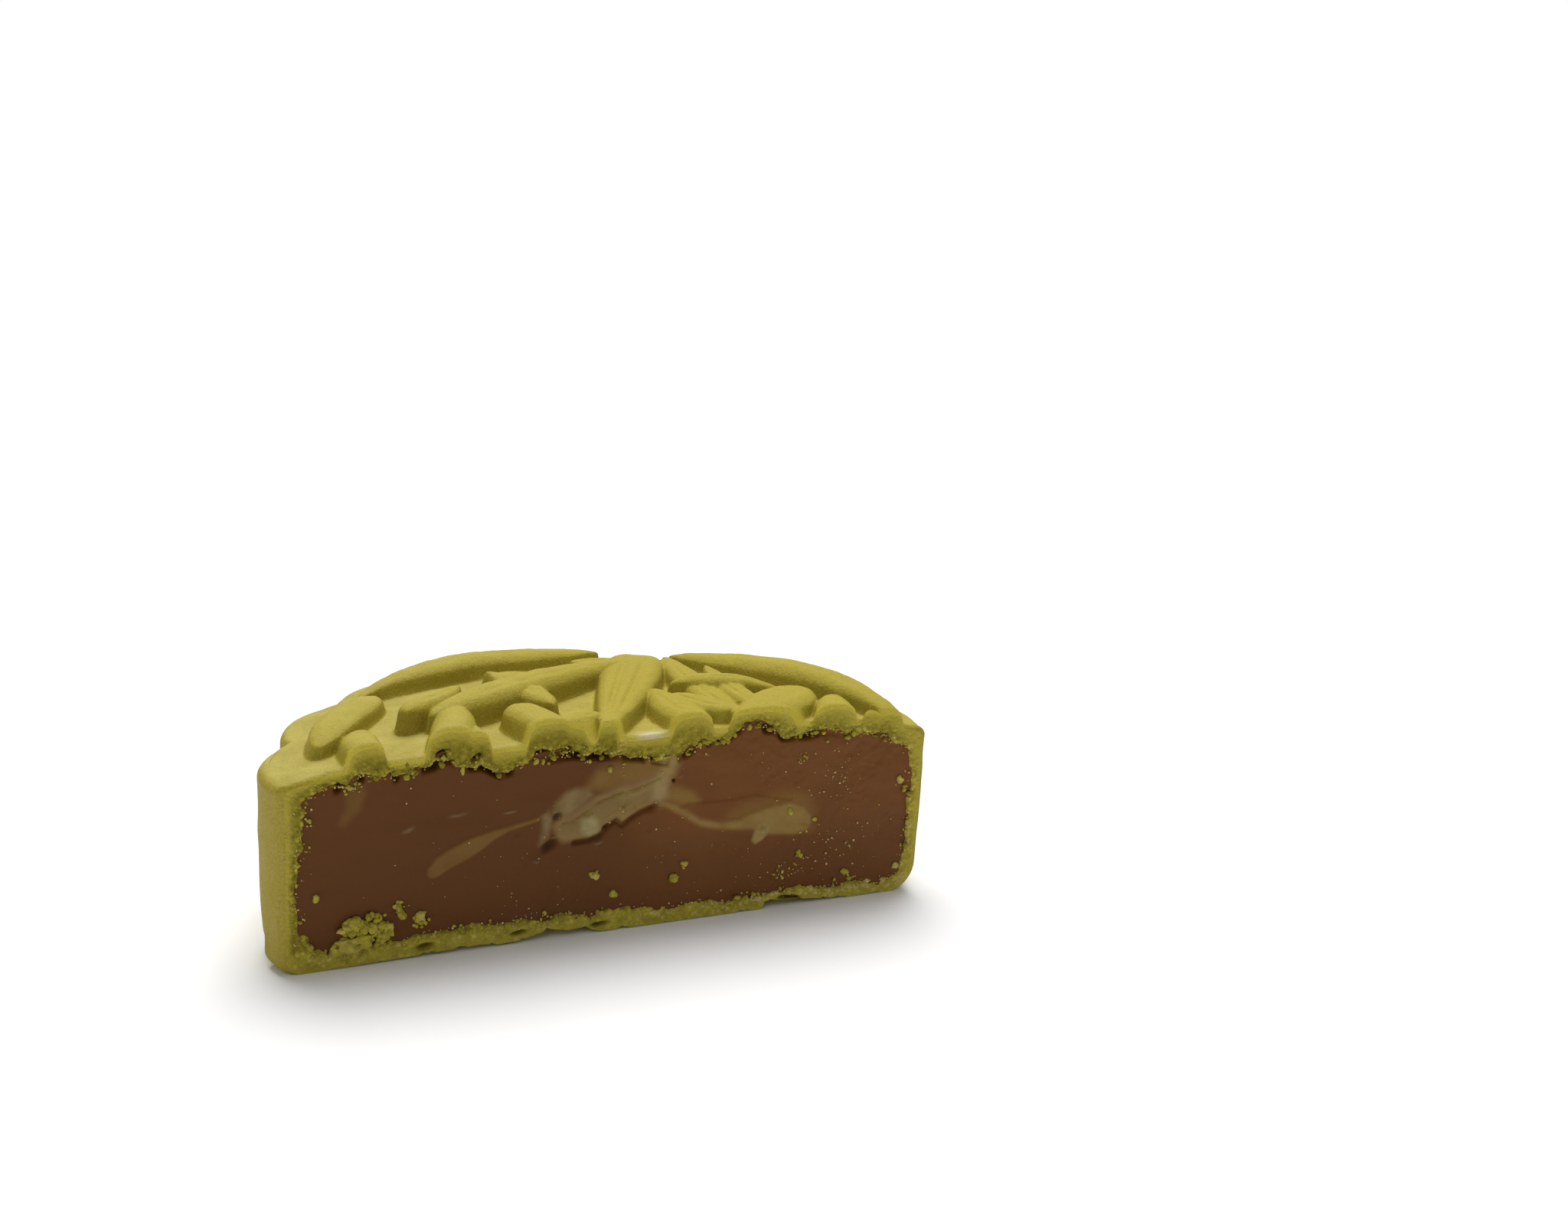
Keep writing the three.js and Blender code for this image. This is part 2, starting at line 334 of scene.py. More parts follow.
def mesh_piece(name: str, patch: Patch, cake: "CakeForm", material: bpy.types.Material) -> bpy.types.Object:
    """A smooth mesh object from a patch, carried into the part's frame in metres.

    Args:
        name: name of the piece.
        patch: its surface.
        cake: gives the middle that the part's frame starts from.
        material: its finish.

    Returns:
        The object, linked to the scene.
    """
    corners, counts = loops_of(patch.faces)
    used, corners = np.unique(corners, return_inverse=True)
    placed = (patch.points[used] - np.array([*cake.middle(), 0.0])) * MM
    mesh = bpy.data.meshes.new(name)
    mesh.vertices.add(len(placed))
    mesh.vertices.foreach_set("co", placed.astype(np.float32).reshape(-1))
    mesh.loops.add(len(corners))
    mesh.loops.foreach_set("vertex_index", corners.astype(np.int32).reshape(-1))
    mesh.polygons.add(len(counts))
    starts = np.concatenate([[0], np.cumsum(counts)[:-1]])
    mesh.polygons.foreach_set("loop_start", starts.astype(np.int32))
    mesh.update(calc_edges=True)
    mesh.validate()
    mesh.polygons.foreach_set("use_smooth", np.ones(len(mesh.polygons), bool))
    for mask_name, mask in patch.masks.items():
        layer = mesh.attributes.new(mask_name, "FLOAT", "POINT")
        layer.data.foreach_set("value", mask[used].astype(np.float32))
    mesh.materials.append(material)
    piece = bpy.data.objects.new(name, mesh)
    bpy.context.scene.collection.objects.link(piece)
    LOG.info("%s: %d points, %d faces", name, len(mesh.vertices), len(mesh.polygons))
    return piece


# The form of the cake


@dataclass(frozen=True)
class Leaf:
    """One pressed leaf in the mould's own frame, in millimetres.

    Heights, tapers and softness are given for its start and its end. A low taper is a blunt end and
    a high one a point, softness says how late the leaf gains its height from that end, and roundness
    how square its section is.
    """

    start: Pair
    bend: Pair
    end: Pair
    width: float
    heights: Pair
    tapers: Pair
    softness: Pair = (0.2, 0.2)
    ribs: float = 0.6
    roundness: float = 2.5


# Start, bend, end, width, heights and tapers, then softness, ribs and roundness where they differ
LEAF_SIZES: dict[str, tuple] = {
    "left arc": ((-5.1, 31), (-21.9, 25.4), (-30.8, 8.8), 7.3, (1.7, 3.5), (0.61, 0.87), (0.2, 0.75), 0.2),
    "upper cross": ((-8.2, 24.5), (-5.4, 25.3), (-2.6, 26.1), 3.8, (1.4, 1.4), (0.3, 0.3)),
    "inner cross": ((-16.4, 19.6), (-12.2, 18.8), (-8, 17.8), 3.8, (1, 1), (0.5, 0.6)),
    "slanting": ((-17.6, 17.1), (-13.2, 12.4), (-8.5, 4.2), 4.6, (2.2, 2.6), (1, 0.6), (0.15, 0.2), 0.3),
    "left drop": ((-19.4, 13.4), (-20.7, 7), (-23.4, -1.2), 4.2, (1.4, 3.3), (0.8, 0.42), (0.15, 0.3), 0.3),
    "oval": ((-28.5, 8.6), (-30.5, 1.4), (-30.7, -6.7), 5.8, (1.7, 2.3), (0.22, 0.42), (0.2, 0.5), 0, 3.2),
    "diagonal": ((-1.8, 23.5), (-12.4, 12.5), (-20.8, -1), 6.2, (2.4, 3.4), (0.58, 0.5), (0.2, 0.35), 0.2),
    "left stem": ((-18.5, 2.2), (-17.6, -5.5), (-17.6, -16.4), 5.1, (2.7, 2.7), (0.35, 0.58), (0.2, 0.2), 0),
    "left spray": ((-17.3, 0), (-16.1, -7.2), (-7, -16.1), 3.6, (2, 2), (0.68, 0.69), (0.2, 0.2), 0),
    "left corner": ((-27.1, -2.7), (-28, -7.6), (-20.1, -16.4), 4.3, (1.6, 2.7), (0.4, 0.8), (0.2, 0.2), 0),
    "low left": ((-12.5, 3.8), (-9, -1.6), (-1.1, -11.2), 5.4, (2.3, 2.9), (0.26, 0.77), (0.15, 0.2), 0.2, 3),
    "low chip": ((-7.6, -2.1), (-6.2, 1.2), (-3.4, 2.7), 4, (2.2, 2.2), (0.48, 0.5)),
    "centre": ((-0.5, 29.8), (-0.8, 15.5), (-3, -2.1), 7.5, (1.8, 2.3), (0.25, 0.64), (0.9, 0.2), 0.8, 4),
    "right arc": ((3.2, 31.1), (19.6, 27.7), (30.7, 9.9), 8.4, (1.7, 4.7), (0.58, 0.8), (0.2, 1.1), 0.2),
    "right second": ((7.3, 24.5), (9.5, 16.7), (13.6, 7.7), 4, (1.9, 1.9), (0.8, 0.5), (0.1, 0.2)),
    "right steep": ((2.7, 29.4), (6.1, 14.8), (12.2, 4.7), 4.5, (1.7, 1.7), (0.59, 0.71)),
    "right cross": ((3.2, 15.4), (9.3, 17.6), (17.8, 18.1), 4.4, (2.5, 2.5), (0.69, 0.9), (0.4, 1), 0.2),
    "right slant": ((19.1, 17.2), (16.1, 13.7), (10.1, 1.6), 7.3, (2, 2), (0.58, 0.75), (0.2, 0.2), 0.2, 3),
    "right drop": ((22.2, 16.4), (20.9, 8.3), (24.5, -2.2), 5.2, (1.8, 1.8), (0.52, 0.74)),
    "right edge": ((26, 12.4), (27.9, 8), (32.3, -0.3), 5.6, (1.4, 1.4), (0.45, 0.71), (0.2, 0.2), 0),
    "centre spray": ((1.6, 13.6), (3.8, 6.5), (9.1, 0), 5.6, (2.1, 1.9), (0.9, 0.87), (0.2, 0.2), 0.4),
    "fine spray": ((3.6, 12.5), (7.1, 8.6), (10.7, 7.3), 4.8, (1.8, 1.8), (0.49, 0.51), (0.3, 0.2)),
}
LEAVES: dict[str, Leaf] = {name: Leaf(*sizes) for name, sizes in LEAF_SIZES.items()}


@dataclass(frozen=True)
class CakeForm:
    """Driving sizes of the whole cake, in millimetres, with the cake's axis on the cut."""

    valley_radius: float = 35.0
    peak_radius: float = 37.0
    scallops: int = 16
    first_notch: float = math.radians(1.4)
    rim_height: float = 19.7
    crown: float = 2.1
    crown_power: float = 5.0
    rim_round: float = 1.1
    foot_round: float = 2.5
    foot_round_swing: float = 0.8
    crease_angle: float = math.radians(175.2)
    crease_reach: float = 0.45
    crease_round: float = 1.5
    crease_lean: float = 0.6
    end_swell: float = 0.6
    end_reach: float = 0.22

    def outline_radius(self, angle: np.ndarray) -> np.ndarray:
        """Radius of the scalloped outline: one arc a scallop, from notch to notch over its peak.

        Args:
            angle: angles round the axis, in radians.

        Returns:
            One radius an angle.
        """
        span = 2 * math.pi / self.scallops
        turn = (angle - self.first_notch) / span
        away = (turn - np.floor(turn) - 0.5) * span
        half_chord = self.valley_radius * math.sin(span / 2)
        rise = self.peak_radius - self.valley_radius * math.cos(span / 2)
        arc = (half_chord**2 + rise**2) / (2 * rise)
        centre = self.peak_radius - arc
        return centre * np.cos(away) + np.sqrt(arc**2 - (centre * np.sin(away)) ** 2)

    def top_height(self, radius: np.ndarray) -> np.ndarray:
        """Height of the crowned top: rim + crown (1 - (radius / valley radius)^power)."""
        share = np.minimum(radius / self.valley_radius, 1.0)
        return self.rim_height + self.crown * (1 - share**self.crown_power)

    def behind_crease(self, angle: np.ndarray) -> np.ndarray:
        """Where the wall's foot is pressed in behind a crease near the left end, fading out further round."""
        past = self.crease_angle - angle
        return smooth(past / 0.012) * smooth(1 - past / self.crease_reach)

    def foot(self, angle: np.ndarray) -> np.ndarray:
        """Round of the base's edge: its mean, more at the right end and less at the left."""
        plain = self.foot_round + self.foot_round_swing * np.cos(angle)
        return plain + self.crease_round * self.behind_crease(angle)

    def lean(self, angle: np.ndarray, height: np.ndarray) -> np.ndarray:
        """How far the wall leans in at a height, only behind the crease and mostly low down."""
        return self.crease_lean * self.behind_crease(angle) * np.clip(1 - height / 9.0, 0, 1) ** 2

    def swell(self, angle: np.ndarray) -> np.ndarray:
        """How far the wall is pressed outwards at the right end of the cut, fading out further round."""
        return self.end_swell * smooth(1 - angle / self.end_reach)

    def middle(self) -> tuple[float, float]:
        """Middle of the half's box, from the outline at the facets of the solid model."""
        angle = self.first_notch + np.arange(-1, self.scallops * 8 + 1) * 2 * math.pi / (self.scallops * 8)
        angle = np.concatenate([angle, [0.0, math.pi]])
        angle = angle[(angle >= 0) & (angle <= math.pi + 1e-9)]
        radius = self.outline_radius(angle)
        x, y = radius * np.cos(angle), radius * np.sin(angle)
        return (x.min() + x.max()) / 2, y.max() / 2


@dataclass(frozen=True)
class LeafPattern:
    """The pressed relief: leaves with steep sides and round tops, and two grooves beside a middle rib."""

    knife_turn: float = math.radians(22.4)
    shift: Pair = (0.4, -1.0)
    foot: float = 0.14
    wall: float = 0.5
    groove: float = 0.13
    groove_at: float = 0.27
    groove_half: float = 0.2
    cut_fade: float = 3.0
    samples: int = 121

    def from_mould(self, place: Pair) -> np.ndarray:
        """A point of the mould in the knife's frame: shifted, then turned back by the knife's turn.

        Args:
            place: the point in the mould.

        Returns:
            The point seen from the cut.
        """
        moved = np.array(place) + np.array(self.shift)
        c, s = math.cos(-self.knife_turn), math.sin(-self.knife_turn)
        return np.array([c * moved[0] - s * moved[1], s * moved[0] + c * moved[1]])

    def leaf_height(self, leaf: Leaf, x: np.ndarray, y: np.ndarray) -> np.ndarray:
        """Height of one leaf over the top.

        The middle line is a quadratic curve. With t along it, the half width is
        width / 2 (t / t0)^a ((1 - t) / (1 - t0))^b. With c across it, from 0 to 1, the height is
        sqrt(1 - c^n) times a smoothstep up the steep side, less two grooves beside the middle rib.
        Along the leaf the height runs straight from its start to its end, times the same fullness to the
        power of that end's softness.

        Args:
            leaf: the leaf.
            x: places along the cut.
            y: places behind the cut.

        Returns:
            The heights, 0 outside the leaf.
        """
        p0, p1, p2 = (self.from_mould(p) for p in (leaf.start, leaf.bend, leaf.end))
        t = np.linspace(0, 1, self.samples)[:, None]
        line = (1 - t) ** 2 * p0 + 2 * t * (1 - t) * p1 + t**2 * p2
        reach = leaf.width / 2 + self.foot + 0.3
        low, high = line.min(0) - reach, line.max(0) + reach
        near = (x > low[0]) & (x < high[0]) & (y > low[1]) & (y < high[1])
        height = np.zeros_like(x)
        if not near.any():
            return height
        place = np.stack([x[near], y[near]], 1)
        best = np.full(len(place), np.inf)
        along = np.zeros(len(place))
        for index in range(self.samples - 1):
            step = line[index + 1] - line[index]
            share = np.clip((place - line[index]) @ step / (step @ step), 0, 1)
            away = np.linalg.norm(place - line[index] - share[:, None] * step, axis=1)
            nearer = away < best
            best = np.where(nearer, away, best)
            along = np.where(nearer, (index + share) / (self.samples - 1), along)
        a, b = leaf.tapers
        widest = a / (a + b)
        along = np.clip(along, 1e-4, 1 - 1e-4)
        fullness = (along / widest) ** a * ((1 - along) / (1 - widest)) ** b
        half = leaf.width / 2 * fullness
        across = np.clip(best / (half + self.foot), 0, 1)
        section = np.sqrt(1 - across**leaf.roundness) * smooth((half - best + self.foot) / self.wall)
        softness = np.where(along < widest, leaf.softness[0], leaf.softness[1])
        drawn = smooth((along - 0.12) / 0.2) * smooth((0.9 - along) / 0.2) * smooth(half / 1.4)
        fading = smooth((place[:, 1] - 0.4) / self.cut_fade)
        groove = hump(across, self.groove_at, self.groove_half)
        grooved = 1 - self.groove * leaf.ribs * drawn * fading * groove
        tall = leaf.heights[0] + (leaf.heights[1] - leaf.heights[0]) * along
        height[near] = tall * fullness**softness * section * grooved
        return height

    def relief(self, x: np.ndarray, y: np.ndarray) -> np.ndarray:
        """Height of the whole pattern over the plain top: the highest leaf at each place.

        Args:
            x: places along the cut.
            y: places behind the cut.

        Returns:
            The heights.
        """
        total = np.zeros_like(x)
        for leaf in LEAVES.values():
            total = np.maximum(total, self.leaf_height(leaf, x, y))
        return total


@dataclass(frozen=True)
class PasteEdge:
    """Where the paste meets the crust at the cut, as four lines in (x, height) millimetres."""

    top: Line = (
        (-32.6, 18.2), (-31.5, 19.0), (-29.3, 19.3), (-27.8, 20.0), (-27.1, 20.1), (-25.8, 19.5),
        (-22.9, 19.9), (-20.6, 20.5), (-19.2, 21.1), (-17.6, 20.1), (-15.7, 20.1), (-13.8, 19.0),
        (-11.7, 19.4), (-10.2, 20.0), (-6.1, 20.4), (-2.0, 19.9), (1.3, 19.4), (5.0, 18.6),
        (7.7, 19.9), (9.3, 20.5), (11.2, 20.5), (12.7, 21.5), (14.0, 21.6), (16.6, 21.1),
        (17.7, 20.2), (21.0, 20.1), (22.4, 20.4), (24.1, 20.1), (27.2, 19.4), (28.6, 19.6),
        (30.4, 19.0), (31.9, 18.1),
    )
    right: Line = (
        (31.9, 18.1), (33.4, 17.4), (34.1, 16.0), (34.2, 10.0), (34.3, 5.9), (34.2, 3.8),
        (33.7, 2.4), (32.6, 1.7),
    )
    bottom: Line = (
        (-32.3, 2.0), (-30.4, 1.9), (-24.1, 2.0), (-22.8, 2.3), (-20.9, 2.5), (-18.7, 2.8),
        (-14.2, 2.9), (-8.2, 2.5), (-6.4, 2.7), (-4.9, 2.3), (-0.1, 2.1), (4.8, 1.8), (7.3, 2.0),
        (8.8, 2.2), (12.5, 1.7), (14.5, 2.1), (16.8, 1.9), (21.6, 1.9), (26.5, 1.6), (32.6, 1.7),
    )
    left: Line = (
        (-32.6, 18.2), (-32.9, 16.8), (-33.2, 14.8), (-33.4, 12.0), (-33.7, 8.0), (-33.7, 5.4),
        (-33.8, 4.4), (-33.0, 3.6), (-32.3, 2.0),
    )

    @staticmethod
    def along(line: Line, share: np.ndarray) -> Points:
        """Points of a line at shares of its length, as (x, 0, height).

        Args:
            line: the stations.
            share: shares from 0 to 1.

        Returns:
            One point a share.
        """
        stations = np.array(line)
        length = np.concatenate([[0], np.cumsum(np.linalg.norm(np.diff(stations, axis=0), axis=1))])
        at = share * length[-1]
        x = np.interp(at, length, stations[:, 0])
        z = np.interp(at, length, stations[:, 1])
        return spots_at(x, z)

    def sides(self, along: np.ndarray, up: np.ndarray) -> tuple[Points, Points, Points, Points]:
        """Points of all four lines.

        Args:
            along: shares from left to right for the bottom and the top.
            up: shares from below for the right and the left.

        Returns:
            Bottom, right, top and left.
        """
        lines = ((self.bottom, along), (self.right, 1 - up), (self.top, along), (self.left, 1 - up))
        return tuple(PasteEdge.along(line, share) for line, share in lines)


# The crust


def rim_of(grid: Points) -> Points:
    """The outer edge of a half disc grid, from its right end round the back to its left end."""
    return np.concatenate([grid[:-1, -1], grid[-1, ::-1], grid[-2::-1, 0]])


@dataclass(frozen=True)
class Pit:
    """A small hollow in the cut, or a lump where its depth is negative.

    It has its place, its two half sizes, its turn and its depth.
    """

    x: float
    height: float
    long: float
    short: float
    turn: float
    depth: float

    def away(self, x: np.ndarray, z: np.ndarray) -> np.ndarray:
        """Distance from its middle in half sizes.

        Args:
            x: places along the cut.
            z: heights.

        Returns:
            One distance a place.
        """
        c, s = math.cos(self.turn), math.sin(self.turn)
        along = (x - self.x) * c + (z - self.height) * s
        across = -(x - self.x) * s + (z - self.height) * c
        return np.hypot(along / self.long, across / self.short)

    def share(self, x: np.ndarray, z: np.ndarray) -> np.ndarray:
        """A soft bowl: 1 in its middle and 0 a little outside its sides."""
        return smooth(1.15 - self.away(x, z))


DOUGH_HOLES: tuple[Pit, ...] = rows_of(Pit, (
    (-21.2, 1.1, 1.3, 0.45, 0.1, 0.8), (-11.4, 1.2, 1.1, 0.35, 0.1, 0.7),
    (-2.6, 0.9, 1.3, 0.35, 0.1, 0.7), (19.8, 0.9, 1.8, 0.4, -0.1, 0.9), (-19.8, 21.6, 0.7, 0.5, 0.3, 0.9),
    (-16.2, 20.9, 0.9, 0.4, 0.6, 0.9), (-9.4, 20.8, 0.8, 0.4, 0.1, 0.8), (-6.6, 20.9, 0.5, 0.4, 0.1, 0.8),
    (8.2, 20.4, 0.5, 0.35, 0.3, 0.6),
))


BASE_TEAR: Line = (
    (-33.0, 0.0), (-26.0, 0.2), (-22.0, 0.3), (-15.5, 0.5), (-13.5, 0.25), (-11.4, 0.33), (-10.3, 0.6),
    (-9.0, 0.75), (-8.4, 1.25), (-6.3, 0.8), (-3.9, 0.65), (-2.4, 0.12), (0.7, 0.0), (4.4, 0.1),
    (14.7, 0.08), (16.4, 0.0), (16.6, 0.1), (16.75, 0.95), (17.1, 0.85), (20.5, 0.7), (23.2, 0.45),
    (27.5, 0.05), (31.0, 0.0), (33.0, 0.1), (37.0, 0.2),
)


@dataclass
class Crust:
    """The baked dough: the pressed top, the scalloped wall, the base and the crumbly cut edge."""

    cake: CakeForm
    pattern: LeafPattern
    edge: PasteEdge
    columns: int = 440
    top_rows: int = 210
    row_crowding: float = 1.35
    wall_rows: int = 49
    bow_rows: int = 8
    foot_rows: int = 10
    cut_rows: int = 32
    cut_fineness: int = 3
    back_steps: int = 18
    cut_round: float = 0.55
    crumbly_reach: float = 1.9
    grains: Pair = (0.5, 0.27)
    grain_heights: Pair = (0.3, 0.16)
    top_waves: Noise = Noise(0.08, 5.0, 11)
    top_ripples: Noise = Noise(0.032, 0.9, 21, 2)
    wall_waves: Noise = Noise(0.1, 4.0, 31)
    flakes: Noise = Noise(1.0, 1.1, 41)
    ragged_across: tuple[Noise, Noise] = (Noise(0.3, 1.7, 51), Noise(0.1, 0.5, 55, 2))
    ragged_up: tuple[Noise, Noise] = (Noise(0.42, 1.7, 61), Noise(0.12, 0.5, 65, 2))
    tearing: Noise = Noise(0.2, 1.8, 91)
    grit: Noise = Noise(0.05, 0.35, 95, 2)

    def rolled(self, y: np.ndarray) -> np.ndarray:
        """How far the outside is drawn in next to the cut: a quarter round of the cut's edge."""
        near = np.clip(self.cut_round - y, 0, self.cut_round)
        return self.cut_round - np.sqrt(self.cut_round**2 - near**2)

    def half_disc(self) -> tuple[np.ndarray, np.ndarray]:
        """A half square carried onto a half disc: x = u sqrt(1 - v^2/2), y = v sqrt(1 - u^2/2).

        Returns:
            The angle and the share of the radius at each point of the grid, row by row from the cut.
        """
        rows = np.linspace(0, 1, self.top_rows + 1) ** self.row_crowding
        u, v = np.meshgrid(np.linspace(-1, 1, self.columns + 1), rows)
        x = u * np.sqrt(1 - v**2 / 2)
        y = v * np.sqrt(1 - u**2 / 2)
        return np.arctan2(y, x), np.hypot(x, y)

    def top_grid(self) -> Points:
        """The pressed top inside its rim: crown, leaves and a slight unevenness, rounded off at the cut."""
        angle, share = self.half_disc()
        radius = share * (self.cake.outline_radius(angle) - self.cake.rim_round)
        x, y = radius * np.cos(angle), radius * np.sin(angle)
        height = self.cake.top_height(radius) + self.pattern.relief(x, y)
        spots = np.stack([x, y, np.zeros_like(x)], -1)
        inner = smooth((1 - share) / 0.04)
        height += inner * self.top_waves.at(spots)
        height += inner * self.top_ripples.at(spots)
        return np.stack([x, y, height - self.rolled(y)], -1)

    def rim_rows(self, rim: Points) -> Points:
        """The rim's quarter round and the start of the wall, carried along the top's outer edge.

        Args:
            rim: outer edge of the top, right end to left end.

        Returns:
            Grid of rows from the top down.
        """
        angle = np.arctan2(rim[:, 1], rim[:, 0])
        outline = self.cake.outline_radius(angle)
        bow = np.linspace(0, math.pi / 2, self.bow_rows)[:, None]
        reach = outline - self.cake.rim_round + self.cake.rim_round * np.sin(bow)
        height = rim[:, 2] - self.cake.rim_round * (1 - np.cos(bow))
        return self.wall_grid(angle, reach, height, np.sin(bow))

    def wall_grid(
        self, angle: np.ndarray, reach: Points, height: Points, rolling: np.ndarray | float
    ) -> Points:
        """Points at a reach from the axis, with the wall's slight waviness.

        Args:
            angle: one angle a column.
            reach: distance from the axis, rows by columns.
            height: heights, rows by columns.
            rolling: share of the cut edge's round and of the end's swell, 0 at the top's edge.

        Returns:
            The grid of points.
        """
        outwards = self.cake.swell(angle) - self.rolled(reach * np.sin(angle))
        reach = reach + outwards * rolling - self.cake.lean(angle, height)
        x, y = reach * np.cos(angle), reach * np.sin(angle)
        spots = np.stack([x, y, height * 0.6], -1)
        ease = np.clip((height - 1.0) / 3.0, 0, 1) * np.clip((20.3 - height) / 2.0, 0, 1)
        push = ease * self.wall_waves.at(spots)
        return np.stack([x + push * np.cos(angle), y + push * np.sin(angle), height], -1)

    def lower_wall(self, start: Points) -> Points:
        """The wall from the end of the rim's round down to the flat base.

        Args:
            start: last row of the rim.

        Returns:
            Grid of rows from the top down.
        """
        angle = np.arctan2(start[:, 1], start[:, 0])
        outline = self.cake.outline_radius(angle)
        foot = self.cake.foot(angle)
        straight = np.linspace(0, 1, self.wall_rows)[:, None]
        heights = start[:, 2] + (foot - start[:, 2]) * straight
        bow = np.linspace(0, math.pi / 2, self.foot_rows + 1)[1:, None]
        reach = np.concatenate([np.broadcast_to(outline, heights.shape), outline - foot * (1 - np.cos(bow))])
        heights = np.concatenate([heights, foot * (1 - np.sin(bow))])
        return self.wall_grid(angle, reach, heights, 1.0)

    def base_grid(self, last: Points) -> Points:
        """The base inside the wall's last row: flat, with the torn hollows that the cut's lower edge shows.

        Args:
            last: the wall's last row, right end to left end.

        Returns:
            The grid of points.
        """
        angle, share = self.half_disc()
        turns = np.arctan2(last[:, 1], last[:, 0])
        reach = np.interp(angle, turns, np.hypot(last[:, 0], last[:, 1]))
        x, y = share * reach * np.cos(angle), share * reach * np.sin(angle)
        return np.stack([x, y, self.base_lift(x, y) * smooth((1 - share) / 0.05)], -1)

    def base_lift(self, x: np.ndarray, y: np.ndarray) -> np.ndarray:
        """How far the base is torn up off the ground: the cut's lower line, fading behind, and small flakes.

        Args:
            x: places along the cut.
            y: places behind the cut.

        Returns:
            Heights, never below the ground.
        """
        flake = np.maximum(self.flakes.at(np.stack([x, y, np.zeros_like(x)], -1)), 0)
        return smooth(1 - y / 4.0) * (line_at(BASE_TEAR, x) + 0.2 * flake) + 0.05 * flake

    def halves(self, top: Points, rim: Points, wall: Points, base: Points) -> tuple[Points, Points]:
        """The cut's outer outline as a right and a left half, each from the base's middle to the top's.

        Args:
            top: grid of the top.
            rim: grid of the rim.
            wall: grid of the wall.
            base: grid of the base.

        Returns:
            The two halves, with equal counts.
        """
        middle = self.columns // 2
        right = [base[0, middle:], wall[::-1, 0][1:], rim[::-1, 0][1:], top[0, :middle - 1:-1][1:]]
        left = [base[0, middle::-1], wall[::-1, -1][1:], rim[::-1, -1][1:], top[0, :middle + 1][1:]]
        return np.concatenate(right), np.concatenate(left)

    def inner_halves(self, wall_count: int) -> tuple[Points, Points]:
        """The paste's outline with the same counts as the outer one.

        Args:
            wall_count: points on the wall and the rim together, beyond the base.

        Returns:
            Right and left half, from the base's middle to the top's.
        """
        middle = self.columns // 2
        along, up = np.linspace(0, 1, self.columns + 1), np.linspace(0, 1, wall_count + 1)[1:]
        bottom, right, top, left = self.edge.sides(along, up)
        right = np.concatenate([bottom[middle:], right, top[:middle - 1:-1][1:]])
        return right, np.concatenate([bottom[middle::-1], left, top[:middle + 1][1:]])

    def ragged(self, line: Points) -> Points:
        """The paste's outline made crumbly: each point moved by coarse and fine noise in the cut's plane.

        Args:
            line: points of the outline.

        Returns:
            The moved points.
        """
        moved = line.copy()
        spots = spots_at(line[:, 0], line[:, 2])
        moved[:, 0] += sum(noise.at(spots) for noise in self.ragged_across)
        moved[:, 2] += sum(noise.at(spots) for noise in self.ragged_up)
        return moved

    def cut_strip(self, outer: Points, inner: Points) -> Patch:
        """The cut dough between two outlines, smooth outside and ever more crumbly towards the paste.

        With d the distance to the paste, the crumbliness is a smoothstep of 1 - d / reach. It scales
        round grains of two sizes and a coarser tearing, all pushed out of the cut's plane.

        Args:
            outer: outline of the crust.
            inner: outline of the paste.

        Returns:
            The patch, with masks for how crumbly and how raw it is, and a tint: each grain's own tint with
            painted shade between the grains and in the holes, and painted light on the low strip and the
            right wall.
        """
        share = np.linspace(0, 1, self.cut_rows + 1)[:, None, None]
        grid = outer * (1 - share) + inner * share
        x, z = grid[..., 0], grid[..., 2]
        spots = spots_at(x, z)
        inside = np.broadcast_to(share[..., 0], x.shape)
        thick = np.linalg.norm(outer - inner, axis=1)
        edge = smooth(inside * thick / 0.35)
        crumbly = smooth(1 - (1 - inside) * thick / self.crumbly_reach) * smooth((inside * thick - 0.1) / 0.6)
        raw = smooth((inside * thick - 0.15) / 1.5)
        away, tint = grain_noise(spots, self.grains[0], 71)
        small, small_tint = grain_noise(spots, self.grains[1], 81)
        bump = (0.5 - away) * self.grain_heights[0] + (0.5 - small) * self.grain_heights[1]
        holes = sum(pit.share(x, z) for pit in DOUGH_HOLES)
        grid[..., 1] -= edge * (crumbly * (bump + self.tearing.at(spots)) + 0.3 * bump + self.grit.at(spots))
        grid[..., 1] += 0.4 * smooth((inside - 0.85) / 0.15)
        grid[..., 1] += sum(pit.depth * pit.share(x, z) for pit in DOUGH_HOLES)
        low = smooth(2.6 - z)
        rightwards, right_wall = smooth((x + 4) / 26), smooth((x - 33) / 1.2)
        # Each grain's tint, darkened towards the grain's border as painted shade; then painted light lifts
        # the low strip by the floor, which lies in shade, and the right wall's edge, and the sections grow
        # paler towards the right.
        grain_tint_and_painted_light = 0.5 * (tint + small_tint) * (1 - 0.55 * smooth((np.minimum(away, 0.9) - 0.4) / 0.3))
        grain_tint_and_painted_light = grain_tint_and_painted_light * (1 - 0.45 * low) + 0.48 * low + 0.12 * rightwards + 0.2 * right_wall
        # More pale crumb and less green dough low down and at the right wall is painted light as well; there
        # is also less green towards the right.
        crumble = np.clip(np.maximum(crumbly, 0.5 * raw) + holes + 0.6 * low, 0, 1) * (1 - 0.4 * right_wall)
        raw = raw * (1 - 0.6 * rightwards - 0.3 * right_wall) * (1 - 0.8 * low)
        # The holes are darkened in colour: painted shade.
        masks = {"crumble": crumble, "tint": grain_tint_and_painted_light * (1 - holes.clip(0, 1)), "raw": raw}
        return grid_patch(grid, masks)

